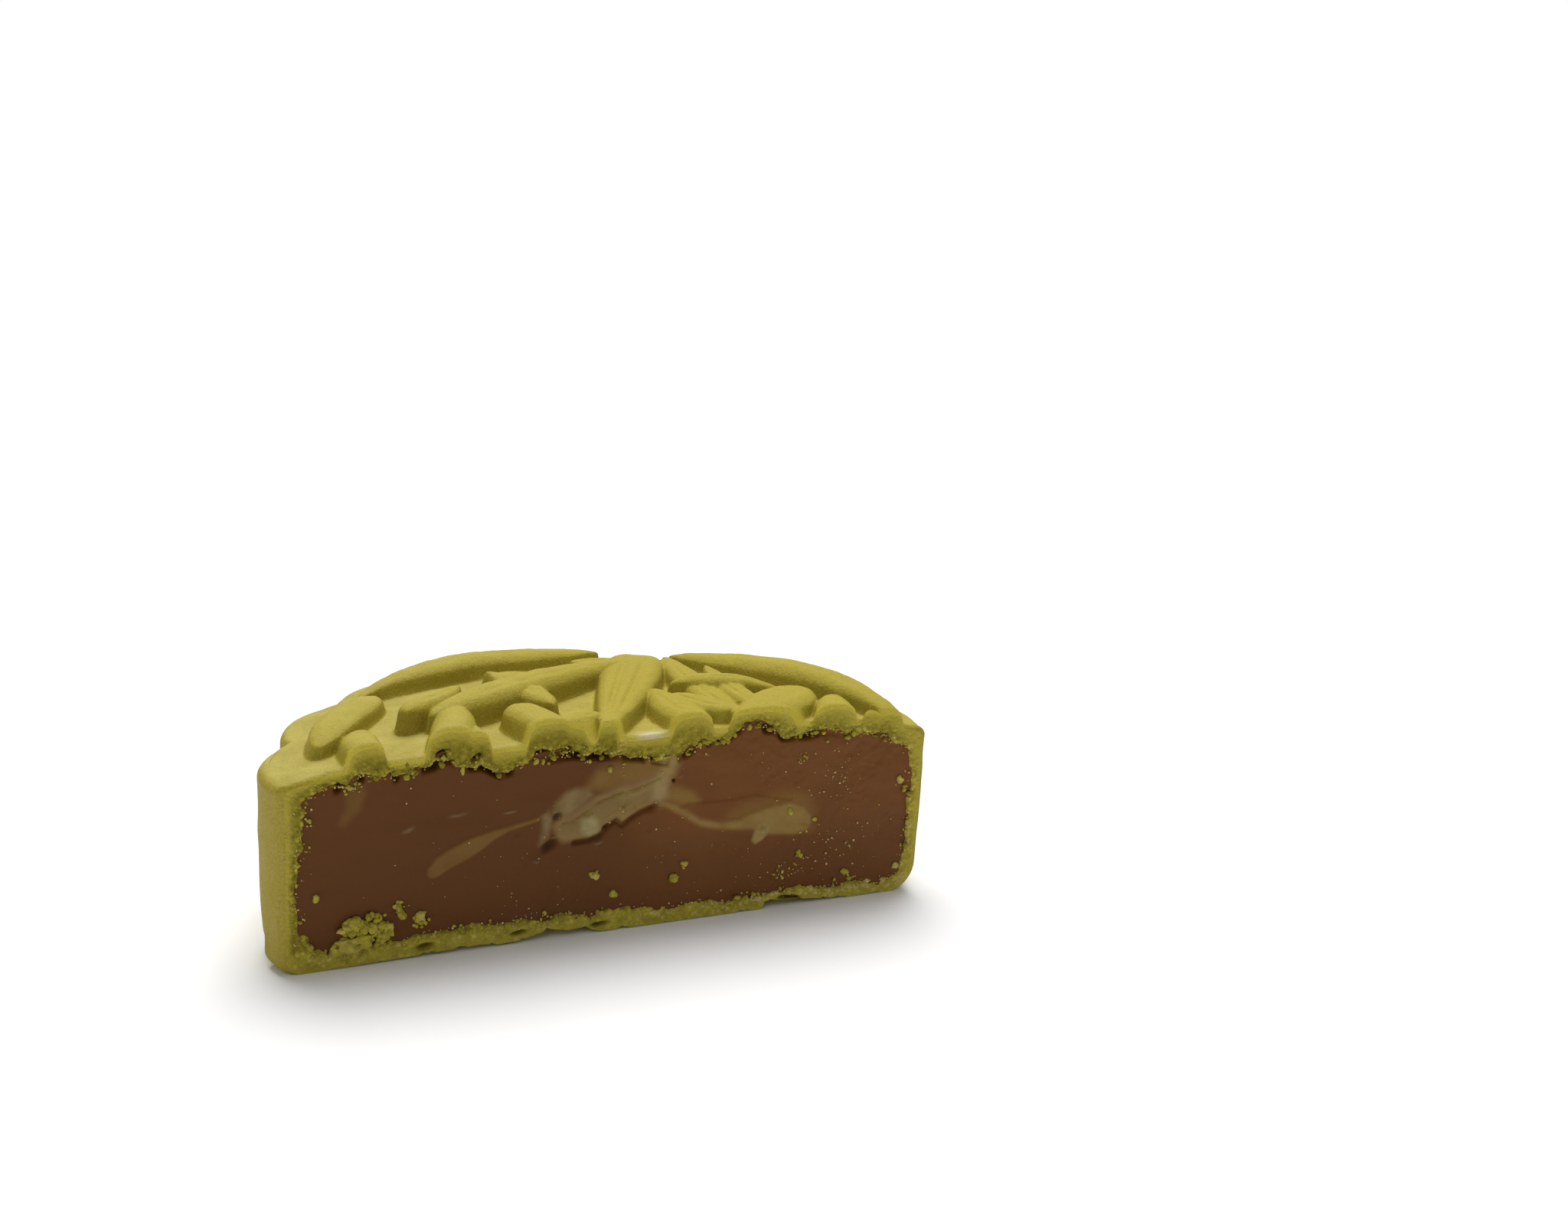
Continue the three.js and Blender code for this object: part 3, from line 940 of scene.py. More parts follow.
    def hollow(self, right: Points, left: Points) -> Patch:
        """The inner wall behind the cut: the right outline turned round the axis into the left one.

        Args:
            right: right half of the outline.
            left: left half of it.

        Returns:
            The patch, with its faces looking into the hollow.
        """
        patch = swept_back(self.cake, right, left, self.back_steps)
        ones = np.ones(len(patch.points))
        patch.masks = {"crumble": ones, "tint": 0.5 * ones, "raw": ones}
        return patch.turned_to(INSIDE - patch.centres())

    def baked(self, patches: list[Patch]) -> Patch:
        """The patches of the outside as one, with the masks of its finish.

        Steepness drives painted shade on upright dough, less so at the cut. The dough is deeper in
        colour on the leaves and towards the right. The rolled rim where the knife broke the top's edge,
        which faces away from the light, is bright: pale crumbly dough and painted light. A moist patch
        lies on the top at the cut, glossy under a coat, its pale colour a painted highlight.

        Args:
            patches: the parts of the outside.

        Returns:
            The joined patch.
        """
        patch = joined(patches)
        x, y, z = patch.points.T
        # A moist patch on the top at the cut: glossy under the coat, and pale in colour as a painted
        # highlight.
        moist_highlight = hump(x, 2.4, 2.4) * smooth(1 - y / 1.6) * smooth((z - 21.0) / 0.4) * smooth((22.3 - z) / 0.3)
        raised = smooth((z - self.cake.top_height(np.hypot(x, y)) - 0.3) / 0.9)
        ripe = np.clip(0.75 * smooth((x + 24) / 40) + 0.5 * raised, 0, 1)
        # The rolled rim at the cut, which faces away from the light, is made bright: pale crumbly dough and
        # painted light.
        edge = smooth((1.1 - y) / 0.7) * smooth((z - 19.5) / 1.2)
        # Steepness drives painted shade on the flanks and upright sides, less of it at the cut's top edge.
        steep = patch.steepness() * (1 - 0.8 * edge)
        edge = edge * smooth((patch.steepness() - 0.1) / 0.5)
        patch.masks = {"steep": steep, "moist_highlight": moist_highlight, "ripe": ripe, "edge": edge}
        return patch

    def build(self, finishes: dict["Finish", bpy.types.Material]) -> list[bpy.types.Object]:
        """Makes the crust's pieces.

        Args:
            finishes: materials by finish.

        Returns:
            The pieces.
        """
        top = self.top_grid()
        rim = self.rim_rows(rim_of(top))
        wall = self.lower_wall(rim[-1])
        base = self.base_grid(wall[-1])
        top_patch, rim_patch, wall_patch, base_patch = (grid_patch(grid) for grid in (top, rim, wall, base))
        top_patch.turned_to(UP)
        base_patch.turned_to(-UP)
        for side in (rim_patch, wall_patch):
            side.turned_to(side.centres() * (1 - UP))
        outer = [refined(half, self.cut_fineness) for half in self.halves(top, rim, wall, base)]
        inner = [refined(half, self.cut_fineness) for half in self.inner_halves(len(wall) + len(rim) - 2)]
        strips = [self.cut_strip(a, self.ragged(b)) for a, b in zip(outer, inner)]
        edges = [strip.points.reshape(self.cut_rows + 1, -1, 3)[-1] for strip in strips]
        crust, crumb = finishes[Finish.CRUST], finishes[Finish.CRUMB]
        pieces = [
            mesh_piece("crust_top", self.baked([top_patch, rim_patch]), self.cake, crust),
            mesh_piece("crust_wall", self.baked([wall_patch]), self.cake, crust),
            mesh_piece("crust_base", self.baked([base_patch]), self.cake, crust),
            mesh_piece("crust_cut", joined([strip.turned_to(FRONT) for strip in strips]), self.cake, crumb),
            mesh_piece("crust_hollow", self.hollow(*edges), self.cake, crumb),
        ]
        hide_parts("crust")
        return pieces


def swept_back(cake: CakeForm, right: Points, left: Points, steps: int) -> Patch:
    """A half turn round the axis from a right half outline to a left one.

    At angle a the point is (r cos a, r sin a, z), where r and z go from the right outline's to the
    left one's with the weight (1 - cos a) / 2. The outlines' own depth fades out from the cut. Away
    from it the height stays 1 mm under the flat of the top.

    Args:
        cake: the whole form.
        right: right half outline.
        left: left half outline, of the same count.
        steps: steps of the half turn.

    Returns:
        The patch.
    """
    angle = np.linspace(0, math.pi, steps + 1)[:, None]
    weight = (1 - np.cos(angle)) / 2
    radius = np.abs(right[:, 0]) * (1 - weight) + np.abs(left[:, 0]) * weight
    height = right[:, 2] * (1 - weight) + left[:, 2] * weight
    roof = cake.top_height(radius) - 1.0 + 3.0 * smooth(1 - radius * np.sin(angle) / 3.5)
    height = np.minimum(height, roof)
    depth = right[:, 1] * np.cos(angle).clip(0) ** 8 + left[:, 1] * (-np.cos(angle)).clip(0) ** 8
    return grid_patch(np.stack([radius * np.cos(angle), radius * np.sin(angle) + depth, height], -1))


# The paste and the custard


@dataclass(frozen=True)
class Station:
    """A station along the custard: place across, height over the base, half thickness, in millimetres."""

    x: float
    height: float
    half: float


CUSTARD: tuple[Station, ...] = rows_of(Station, (
    (-21.6, 9.2, 0.45), (-17.6, 11.9, 0.5), (-12.4, 13.3, 0.5), (-9.2, 13.6, 1.1), (-7.2, 13.4, 2.6),
    (-3.8, 13.7, 3.1), (0.4, 14.4, 2.3), (4.2, 15.9, 2.7), (6.6, 12.8, 0.9), (11.0, 11.0, 0.8),
    (16.0, 10.8, 1.3), (20.0, 10.4, 1.9), (22.6, 9.9, 0.6),
))


@dataclass(frozen=True)
class CustardLine:
    """The custard's section at the cut as a smooth line through its stations."""

    stations: tuple[Station, ...] = CUSTARD
    samples: int = 340

    def line(self) -> tuple[Points, np.ndarray]:
        """Points (x, height) and half thicknesses along a Catmull-Rom line through the stations."""
        knots = np.array([astuple(station) for station in self.stations])
        knots = np.concatenate([2 * knots[:1] - knots[1:2], knots, 2 * knots[-1:] - knots[-2:-1]])
        at = np.linspace(0, len(self.stations) - 1, self.samples + 1)
        index = np.minimum(at.astype(int), len(self.stations) - 2)
        t = (at - index)[:, None]
        a, b, c, d = (knots[index + k] for k in range(4))
        square, cube = 2 * a - 5 * b + 4 * c - d, 3 * b - a - 3 * c + d
        curve = 0.5 * (2 * b + (c - a) * t + square * t**2 + cube * t**3)
        return curve[:, :2], curve[:, 2]


@dataclass(frozen=True)
class Smear:
    """A smear of custard on the cut.

    Its outline and the softness of its edge are in millimetres. Olive and pale are the shares of both
    colours inside it, wet is how glossy it is, and it stands raised by so many millimetres.
    """

    outline: Line
    soft: float
    olive: float = 0.0
    pale: float = 0.0
    wet: float = 0.0
    raised: float = 0.0


BLOB: Line = (
    (-8.0, 12.5), (-7.5, 13.5), (-6.2, 13.6), (-4.9, 14.5), (-3.5, 15.4), (-2.2, 15.8), (-0.6, 16.3),
    (1.1, 16.5), (2.8, 17.2), (4.2, 17.8), (4.9, 18.1), (5.5, 17.5), (4.6, 16.3), (4.0, 14.6),
    (3.2, 13.8), (1.8, 13.3), (0.4, 12.6), (-0.3, 11.9), (-1.0, 12.7), (-2.0, 12.0), (-2.8, 11.2),
    (-3.9, 10.8), (-5.4, 10.8), (-6.8, 10.6), (-7.6, 11.2),
)
SMEARS: dict[str, Smear] = {
    "left streak": Smear((
        (-21.1, 9.0), (-21.0, 9.6), (-20.3, 10.5), (-19.1, 11.3), (-16.8, 12.3), (-14.4, 12.9),
        (-10.8, 13.5), (-9.1, 14.0), (-9.6, 13.3), (-12.5, 12.6), (-14.1, 11.9), (-15.6, 10.9),
        (-17.2, 10.0), (-18.8, 9.3), (-20.2, 8.5), (-20.8, 8.5),
    ), soft=0.4, olive=0.34, wet=0.1, raised=0.3),
    "streak's end": Smear((
        (-9.2, 13.9), (-8.6, 14.4), (-8.1, 13.5), (-8.2, 12.5), (-8.5, 11.3), (-9.4, 10.6), (-9.1, 12.6),
    ), soft=0.8, olive=0.2, pale=0.2, wet=0.5, raised=0.08),
    "grey patch": Smear((
        (-8.2, 13.9), (-7.8, 15.2), (-6.6, 16.2), (-5.6, 16.5), (-4.2, 16.4), (-3.8, 15.6),
        (-4.9, 14.5), (-6.2, 13.5), (-7.0, 13.4),
    ), soft=0.9, olive=0.2, pale=0.27, wet=0.2, raised=0.05),
    "blob": Smear(BLOB, soft=0.9, olive=0.52, pale=0.04, wet=0.7),
    "blob's upper part": Smear((
        (-1.8, 15.2), (-0.4, 16.1), (1.4, 16.3), (3.4, 17.2), (4.6, 17.7), (4.4, 16.4), (3.4, 15.2),
        (1.6, 14.6), (-0.6, 14.3),
    ), soft=1.5, olive=0.68, pale=0.07, wet=0.6),
    "bright patch": Smear((
        (-5.0, 12.9), (-4.0, 13.5), (-3.0, 12.4), (-2.9, 11.3), (-4.0, 11.0), (-5.0, 11.7),
    ), soft=1.1, olive=0.7, pale=0.5, wet=1.0),
    "way to the roof": Smear((
        (2.6, 14.8), (2.8, 16.8), (3.5, 18.0), (3.8, 19.4), (6.1, 19.4), (5.5, 17.6), (4.8, 16.0),
        (4.3, 14.6),
    ), soft=1.6, olive=0.74, pale=0.08, wet=0.5),
    "patch by the roof": Smear((
        (2.7, 14.4), (2.9, 16.3), (3.7, 17.0), (4.6, 16.4), (4.7, 14.6), (3.8, 13.9),
    ), soft=1.3, olive=0.7, pale=0.42, wet=0.5),
    "haze under the roof": Smear((
        (-4.6, 16.4), (-3.5, 18.2), (-1.0, 19.2), (2.5, 19.2), (4.8, 19.0), (4.4, 17.0), (1.0, 16.0),
        (-2.0, 15.6),
    ), soft=1.6, olive=0.42, wet=0.1),
    "start of the right streak": Smear((
        (3.4, 13.4), (4.2, 15.6), (5.8, 15.5), (7.6, 14.7), (8.4, 13.6), (6.6, 13.2), (5.0, 13.7),
    ), soft=1.2, olive=0.5, wet=0.1),
    "right streak": Smear((
        (3.9, 14.2), (4.6, 14.1), (6.5, 13.0), (8.5, 11.5), (10.8, 11.0), (13.1, 11.1), (15.0, 11.6),
        (17.3, 12.2), (19.3, 12.3), (21.0, 11.6), (22.0, 10.5), (22.0, 9.6), (21.4, 8.8),
        (19.9, 8.5), (17.5, 8.8), (15.5, 9.2), (14.8, 9.7), (13.1, 9.9), (10.8, 10.2), (8.6, 10.8),
        (6.6, 12.1), (4.6, 13.3), (3.9, 13.6),
    ), soft=0.8, olive=0.72, pale=0.06, wet=0.15, raised=0.16),
    "haze over it": Smear((
        (10.0, 10.8), (13.0, 12.4), (16.5, 13.3), (19.4, 13.6), (21.6, 12.8), (22.6, 11.0),
        (22.4, 8.6), (20.0, 9.0),
    ), soft=1.8, olive=0.3),
    "crumbly smudge": Smear((
        (-29.2, 19.6), (-27.4, 19.8), (-27.2, 18.2), (-27.8, 16.4), (-29.2, 15.0), (-29.8, 15.2),
        (-29.1, 17.0),
    ), soft=0.9, olive=0.2),
    "clump": Smear((
        (14.9, 9.2), (15.3, 10.1), (16.2, 10.4), (16.9, 9.8), (16.7, 9.0), (16.0, 8.3), (15.2, 7.9),
        (14.7, 8.4),
    ), soft=0.4, olive=0.9, pale=0.14, wet=0.4, raised=0.22),
}


@dataclass(frozen=True)
class CutFace:
    """What the knife left on the paste: the masks of its colours and its raised smears."""

    unevenness: Noise = Noise(0.16, 1.6, 171)

    @staticmethod
    def share(smear: Smear, x: np.ndarray, z: np.ndarray) -> np.ndarray:
        """How far places lie in a smear: a smoothstep over its soft edge."""
        return smooth(0.5 + depth_inside(smear.outline, x, z) / smear.soft)

    def masks(self, x: np.ndarray, z: np.ndarray) -> dict[str, np.ndarray]:
        """The masks of the colours; where smears overlap, the stronger one counts.

        Args:
            x: places along the cut.
            z: heights.

        Returns:
            Olive, pale, wet, warmth and dark, each from 0 to 1; dark is painted shade in the deeper pits.
        """
        uneven = 1 + self.unevenness.at(spots_at(x, z))
        masks = {name: np.zeros_like(x) for name in ("olive", "pale", "wet")}
        for smear in SMEARS.values():
            here = self.share(smear, x, z)
            for name in masks:
                masks[name] = np.maximum(masks[name], here * getattr(smear, name))
        for lump in (pit for pit in PITS if pit.depth < 0):
            masks["wet"] = np.maximum(masks["wet"], 0.9 * lump.share(x, z))
            masks["pale"] = np.maximum(masks["pale"], 0.12 * lump.share(x, z))
        masks["olive"] = np.clip(masks["olive"] * uneven, 0, 1)
        masks["pale"] = np.clip(masks["pale"] * uneven**3, 0, 1)
        masks["warmth"] = smooth((x + 4) / 11) * (0.5 + 0.5 * smooth((z - 6.5) / 6))
        # Painted shade: the deeper pits darkened in colour.
        masks["dark"] = np.clip(sum(0.9 * pit.share(x, z) for pit in PITS if pit.depth > 0.3), 0, 1)
        return masks

    def raised(self, x: np.ndarray, z: np.ndarray) -> np.ndarray:
        """How far the smears stand out of the paste, in millimetres."""
        return np.max([s.raised * self.share(s, x, z) for s in SMEARS.values() if s.raised > 0], axis=0)


PITS: tuple[Pit, ...] = rows_of(Pit, (
    (-7.5, 13.6, 0.65, 0.5, 0.3, 0.4), (-8.3, 10.4, 1.2, 0.6, 0.6, 0.5),
    (-2.2, 11.8, 0.5, 0.3, 0.7, 0.35), (2.9, 13.2, 0.7, 0.4, 0.5, 0.2), (2.8, 10.9, 0.4, 0.25, 0.5, 0.15),
    (-11.8, 12.0, 0.35, 0.2, 0.0, 0.15), (5.2, 16.3, 0.2, 0.2, 0.0, 0.9),
    (-23.0, 13.9, 0.8, 0.35, 0.4, -0.11), (-18.0, 14.9, 1.2, 0.3, 0.1, -0.11),
    (-12.6, 14.6, 0.9, 0.15, 0.1, -0.1), (-9.7, 8.9, 0.55, 0.5, 0.0, -0.45),
    (15.9, 9.4, 0.75, 0.65, 0.2, -0.35), (-3.0, 10.2, 0.6, 0.5, 0.4, -0.3),
    (-0.4, 13.6, 0.45, 0.35, 0.0, -0.2), (-8.9, 14.1, 0.35, 0.3, 0.0, -0.2),
    (-7.9, 11.3, 0.3, 0.25, 0.0, -0.18), (-4.0, 13.3, 0.5, 0.2, 0.7, -0.16),
    (-3.4, 10.2, 0.35, 0.25, 0.0, -0.18), (6.0, 16.7, 0.35, 0.2, 0.5, -0.14),
))
CREVICE: Line = (
    (-5.6, 10.4), (-3.9, 10.5), (-2.8, 10.9), (-2.0, 11.7), (-1.1, 12.3), (-0.3, 11.7), (0.6, 12.4),
    (1.8, 13.1), (3.3, 13.6),
)
CREASE: Line = (
    (6.2, 13.3), (7.1, 13.6), (9.7, 13.6), (12.3, 13.5), (14.9, 13.8), (17.2, 13.2), (19.2, 12.8),
)
# How open each gap under the roof is, its middle and its half length
ROOF_GAPS: tuple[tuple[float, float, float], ...] = (
    (1.0, -4.5, 5.6), (0.6, -15.5, 2.6), (0.5, -19.6, 1.6),
    (0.45, 11.8, 2.2), (0.4, 17.0, 2.0), (0.3, 23.0, 3.0),
)


@dataclass
class Paste:
    """The dark bean paste: its smeared cut face and its body behind, filling the hollow."""

    cake: CakeForm
    edge: PasteEdge
    face: CutFace
    columns: int = 480
    rows: int = 140
    back_steps: int = 24
    half_sizes: Triple = (34.0, 1.0, 9.5)
    overlap: float = 0.75
    sink: float = 0.25
    broad: Noise = Noise(0.14, 6.0, 101)
    smearing: Noise = Noise(0.05, 1.5, 111)
    dragging: Noise = Noise(0.13, 1.0, 115)
    grainy_patches: Noise = Noise(1.0, 4.5, 121)
    grains: Noise = Noise(0.09, 0.7, 131, 2)
    gap_waves: Noise = Noise(0.25, 1.2, 141)
    more_gaps: Noise = Noise(2.2, 2.3, 145)
    gap_depth: float = 2.2
    crevice_depth: float = 0.5
    crease_depth: float = 0.16

    def outline(self) -> tuple[Points, Points, Points, Points]:
        """Bottom, right, top and left edges of the face, grown a little so that the crust covers them."""
        lines = self.edge.sides(np.linspace(0, 1, self.columns + 1), np.linspace(0, 1, self.rows + 1))
        grown = 1 + np.array([self.overlap, 0, self.overlap]) / np.array(self.half_sizes)
        return tuple(CUT_MIDDLE + (line - CUT_MIDDLE) * grown for line in lines)

    def face_grid(self) -> Points:
        """The flat face as a Coons patch: both ruled surfaces less the corners' bilinear one."""
        bottom, right, top, left = self.outline()
        a = np.linspace(0, 1, self.columns + 1)[None, :, None]
        b = np.linspace(0, 1, self.rows + 1)[:, None, None]
        ruled = (1 - b) * bottom[None] + b * top[None] + (1 - a) * left[:, None] + a * right[:, None]
        lower = (1 - a) * (1 - b) * bottom[0] + a * (1 - b) * bottom[-1]
        return ruled - (lower + (1 - a) * b * top[0] + a * b * top[-1])

    def relief(self, x: np.ndarray, z: np.ndarray) -> np.ndarray:
        """How far the knife and the smears left the face behind the cut, in millimetres.

        Args:
            x: places along the cut.
            z: heights.

        Returns:
            Depths, positive away from the camera.
        """
        spots = spots_at(x, z)
        level = spots @ np.array([[1.0, 0, 0.28], [0, 1, 0], [-0.28, 0, 1.0]])
        steep = spots @ np.array([[0.9, 0, 0.45], [0, 1, 0], [-0.45, 0, 0.9]])
        smeared = 0.4 + 0.6 * smooth((x + 12) / 10)
        dragged = hump(x, -6.5, 5.5) * smooth((10.5 - z) / 2) * smooth((z - 2.6) / 2)
        grainy = smooth((x - 8) / 10) * smooth(self.grainy_patches.at(spots) + 0.55)
        depth = self.sink + self.broad.at(spots * np.array([0.6, 1, 1]))
        depth += smeared * self.smearing.at(level * np.array([0.28, 1, 1]))
        depth += dragged * self.dragging.at(steep * np.array([1, 1, 0.22]))
        depth += grainy * self.grains.at(spots)
        for pit in PITS:
            depth += pit.depth * pit.share(x, z) - 0.1 * abs(pit.depth) * hump(pit.away(x, z), 1.3, 0.4)
        depth += self.crevice_depth * smooth(1 - distance_to(CREVICE, x, z) / 0.42)
        depth += self.crease_depth * smooth(1 - distance_to(CREASE, x, z) / 0.4)
        return depth - 0.6 * self.face.raised(x, z)

    def roof_gap(self, x: np.ndarray, z: np.ndarray) -> np.ndarray:
        """Depth of the crack under the roof, where the paste came away from the crust.

        Args:
            x: places along the cut.
            z: heights.

        Returns:
            Extra depths in millimetres.
        """
        near = smooth(1 - np.abs(line_at(self.edge.top, x) - 0.15 - z) / 0.75)
        spots = spots_at(x, np.zeros_like(x))
        wave = 0.75 + self.gap_waves.at(spots)
        gaps = sum(share * hump(x, middle, half) for share, middle, half in ROOF_GAPS)
        gaps = gaps + 0.7 * smooth(self.more_gaps.at(spots) - 0.3)
        return self.gap_depth * near * np.clip(gaps, 0, 1) * wave

    def build(self, finish: bpy.types.Material) -> bpy.types.Object:
        """Makes the paste as one closed piece.

        Args:
            finish: its material.

        Returns:
            The piece.
        """
        grid = self.face_grid()
        x, z = grid[..., 0], grid[..., 2]
        grid[..., 1] = self.relief(x, z) + self.roof_gap(x, z)
        face = grid_patch(grid, self.face.masks(x, z)).turned_to(FRONT)
        middle = self.columns // 2
        right = np.concatenate([grid[0, middle:], grid[1:, -1], grid[-1, :middle - 1:-1][1:]])
        left = np.concatenate([grid[0, middle::-1], grid[1:, 0], grid[-1, :middle + 1][1:]])
        body = swept_back(self.cake, right, left, self.back_steps)
        body.masks = {name: np.zeros(len(body.points)) for name in face.masks}
        body.turned_to(body.centres() - INSIDE)
        piece = mesh_piece("paste", joined([face, body]), self.cake, finish)
        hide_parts("filling")
        return piece


@dataclass
class CustardCore:
    """The moist custard: a soft swollen face at the cut and a half lens behind it."""

    cake: CakeForm
    line: CustardLine
    paste: Paste
    across_steps: int = 60
    depth: float = 12.0
    edge_depth: float = 1.5
    swell: float = 0.13
    sink: float = 0.3
    tilt: float = 0.35
    grown: float = 0.35
    lumps: Noise = Noise(0.4, 1.5, 151)
    ripples: Noise = Noise(0.04, 0.55, 161)

    def build(self, finish: bpy.types.Material) -> bpy.types.Object:
        """Makes the custard as one closed piece.

        The front lies a little under the paste, whose smears have the same colours, and swells out of
        it only inside the blob's outline: sink to swell by a smoothstep of the depth inside. Behind,
        with s from -1 to 1 over the thickness, the section is a half ellipse.

        Args:
            finish: its material.

        Returns:
            The piece.
        """
        centre, half = self.line.line()
        ahead = np.gradient(centre, axis=0)
        ahead /= np.linalg.norm(ahead, axis=1, keepdims=True)
        sideways = np.stack([-ahead[:, 1], ahead[:, 0]], 1)
        sideways = sideways * self.tilt + np.array([0.0, 1.0]) * (1 - self.tilt)
        half = np.maximum(half, 0.3)[:, None] + self.grown
        s = np.linspace(-1, 1, self.across_steps + 1)
        x, z = (centre[:, axis][:, None] + sideways[:, axis][:, None] * half * s for axis in (0, 1))
        spots = spots_at(x, z)
        within = np.minimum(depth_inside(BLOB, x, z) + 0.2, half * (1 - np.abs(s)))
        swollen = self.sink + self.swell * (0.8 + self.lumps.at(spots)) + self.ripples.at(spots)
        proud = swollen * smooth(within / 1.4) - self.sink
        front_y = self.paste.relief(x, z) - proud
        span = np.clip((centre[:, 0] - centre[0, 0]) / (centre[-1, 0] - centre[0, 0]) * 2 - 1, -1, 1)
        ease = smooth(np.linspace(0, 1, len(half)) * 20)
        depth = (self.edge_depth + self.depth * np.sqrt(1 - span**2)) * ease
        front = np.stack([x, front_y, z], -1)
        back = np.stack([x, depth[:, None] * np.sqrt(1 - s**2) + front_y, z], -1)
        masks = self.paste.face.masks(x, z)
        patches = [grid_patch(front, masks).turned_to(FRONT)]
        for grid in (back, *(np.stack([front[end], back[end]]) for end in (0, -1))):
            patches.append(grid_patch(grid, {name: np.zeros(grid.shape[:2]) for name in masks}))
        patches[1].turned_to(-FRONT)
        piece = mesh_piece("custard_core", joined(patches), self.cake, finish)
        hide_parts("custard")
        return piece


# Crumbs


@dataclass(frozen=True)
class Heap:
    """A heap of crumbs on the cut: its middle, its half sizes, how many, and their size range."""

    x: float
    height: float
    long: float
    tall: float
    count: int
    sizes: Pair


# The first two heaps, of tiny cream crumbs on the custard blob, are painted glints that stand in for
# highlights on the wet custard.
HEAPS: tuple[Heap, ...] = rows_of(Heap, (
    (-4.6, 13.2, 0.45, 0.45, 9, (0.05, 0.16)), (-0.4, 13.6, 0.5, 0.4, 9, (0.05, 0.16)),
    (-28.3, 4.2, 1.5, 1.1, 34, (0.3, 1.0)), (-26.2, 4.2, 1.1, 1.2, 30, (0.3, 1.0)),
    (-25.4, 2.9, 1.0, 0.9, 24, (0.3, 1.0)), (-27.8, 2.4, 2.4, 0.8, 40, (0.25, 0.8)),
    (-23.9, 5.4, 0.5, 1.2, 16, (0.25, 0.7)), (-21.7, 4.2, 0.9, 0.8, 20, (0.2, 0.65)),
    (-3.3, 6.7, 0.55, 0.4, 7, (0.15, 0.4)), (-1.0, 4.0, 0.25, 0.3, 3, (0.2, 0.35)),
    (6.9, 6.4, 0.4, 0.4, 3, (0.2, 0.4)), (20.8, 5.9, 0.7, 0.5, 7, (0.2, 0.45)),
    (26.8, 3.0, 0.5, 0.4, 5, (0.2, 0.4)), (27.9, 2.3, 0.3, 0.3, 4, (0.15, 0.3)),
    (20.4, 17.2, 0.5, 0.8, 12, (0.15, 0.4)), (-28.5, 19.0, 1.2, 0.7, 26, (0.12, 0.35)),
    (24.8, 14.6, 3.0, 4.0, 40, (0.08, 0.22)), (25.0, 7.0, 5.0, 3.0, 40, (0.08, 0.25)),
    (18.6, 4.0, 3.5, 1.6, 30, (0.1, 0.35)),
))


@dataclass(frozen=True)
class Lump:
    """A single crumb that shows its shape: its place, its size, its tint and how far it is stretched."""

    x: float
    height: float
    size: float
    tint: float = 0.8
    stretch: float = 1.0


LUMPS: tuple[Lump, ...] = rows_of(Lump, (
    (-28.9, 2.4, 2.0, 0.84, 1.5), (-27.6, 2.7, 1.7, 0.8, 1.3), (-30.0, 2.0, 1.1, 0.8, 1.3),
    (-28.6, 4.5, 1.3, 0.84), (-27.2, 4.3, 1.1, 0.75), (-25.2, 3.6, 1.4, 0.84), (-25.6, 2.6, 1.1, 0.7),
    (-24.0, 5.9, 0.8, 0.85), (-23.5, 5.0, 0.7, 0.86), (-21.7, 4.5, 0.9, 0.86),
    (-32.0, 7.7, 0.7, 0.8, 0.7), (-3.2, 6.6, 0.8, 0.87, 1.2), (-1.1, 4.1, 0.7, 0.8),
    (5.7, 5.2, 1.05, 0.65), (6.9, 6.7, 0.7, 0.8, 1.3), (20.6, 6.3, 0.5, 0.7), (26.7, 3.2, 0.7, 0.7),
    (27.4, 2.2, 0.55, 0.85), (19.3, 11.3, 0.75, 0.8, 0.8), (22.4, 10.0, 0.5, 0.8, 1.3),
    (33.0, 13.6, 0.8, 0.87, 0.8), (33.2, 3.1, 0.8, 0.87),
))


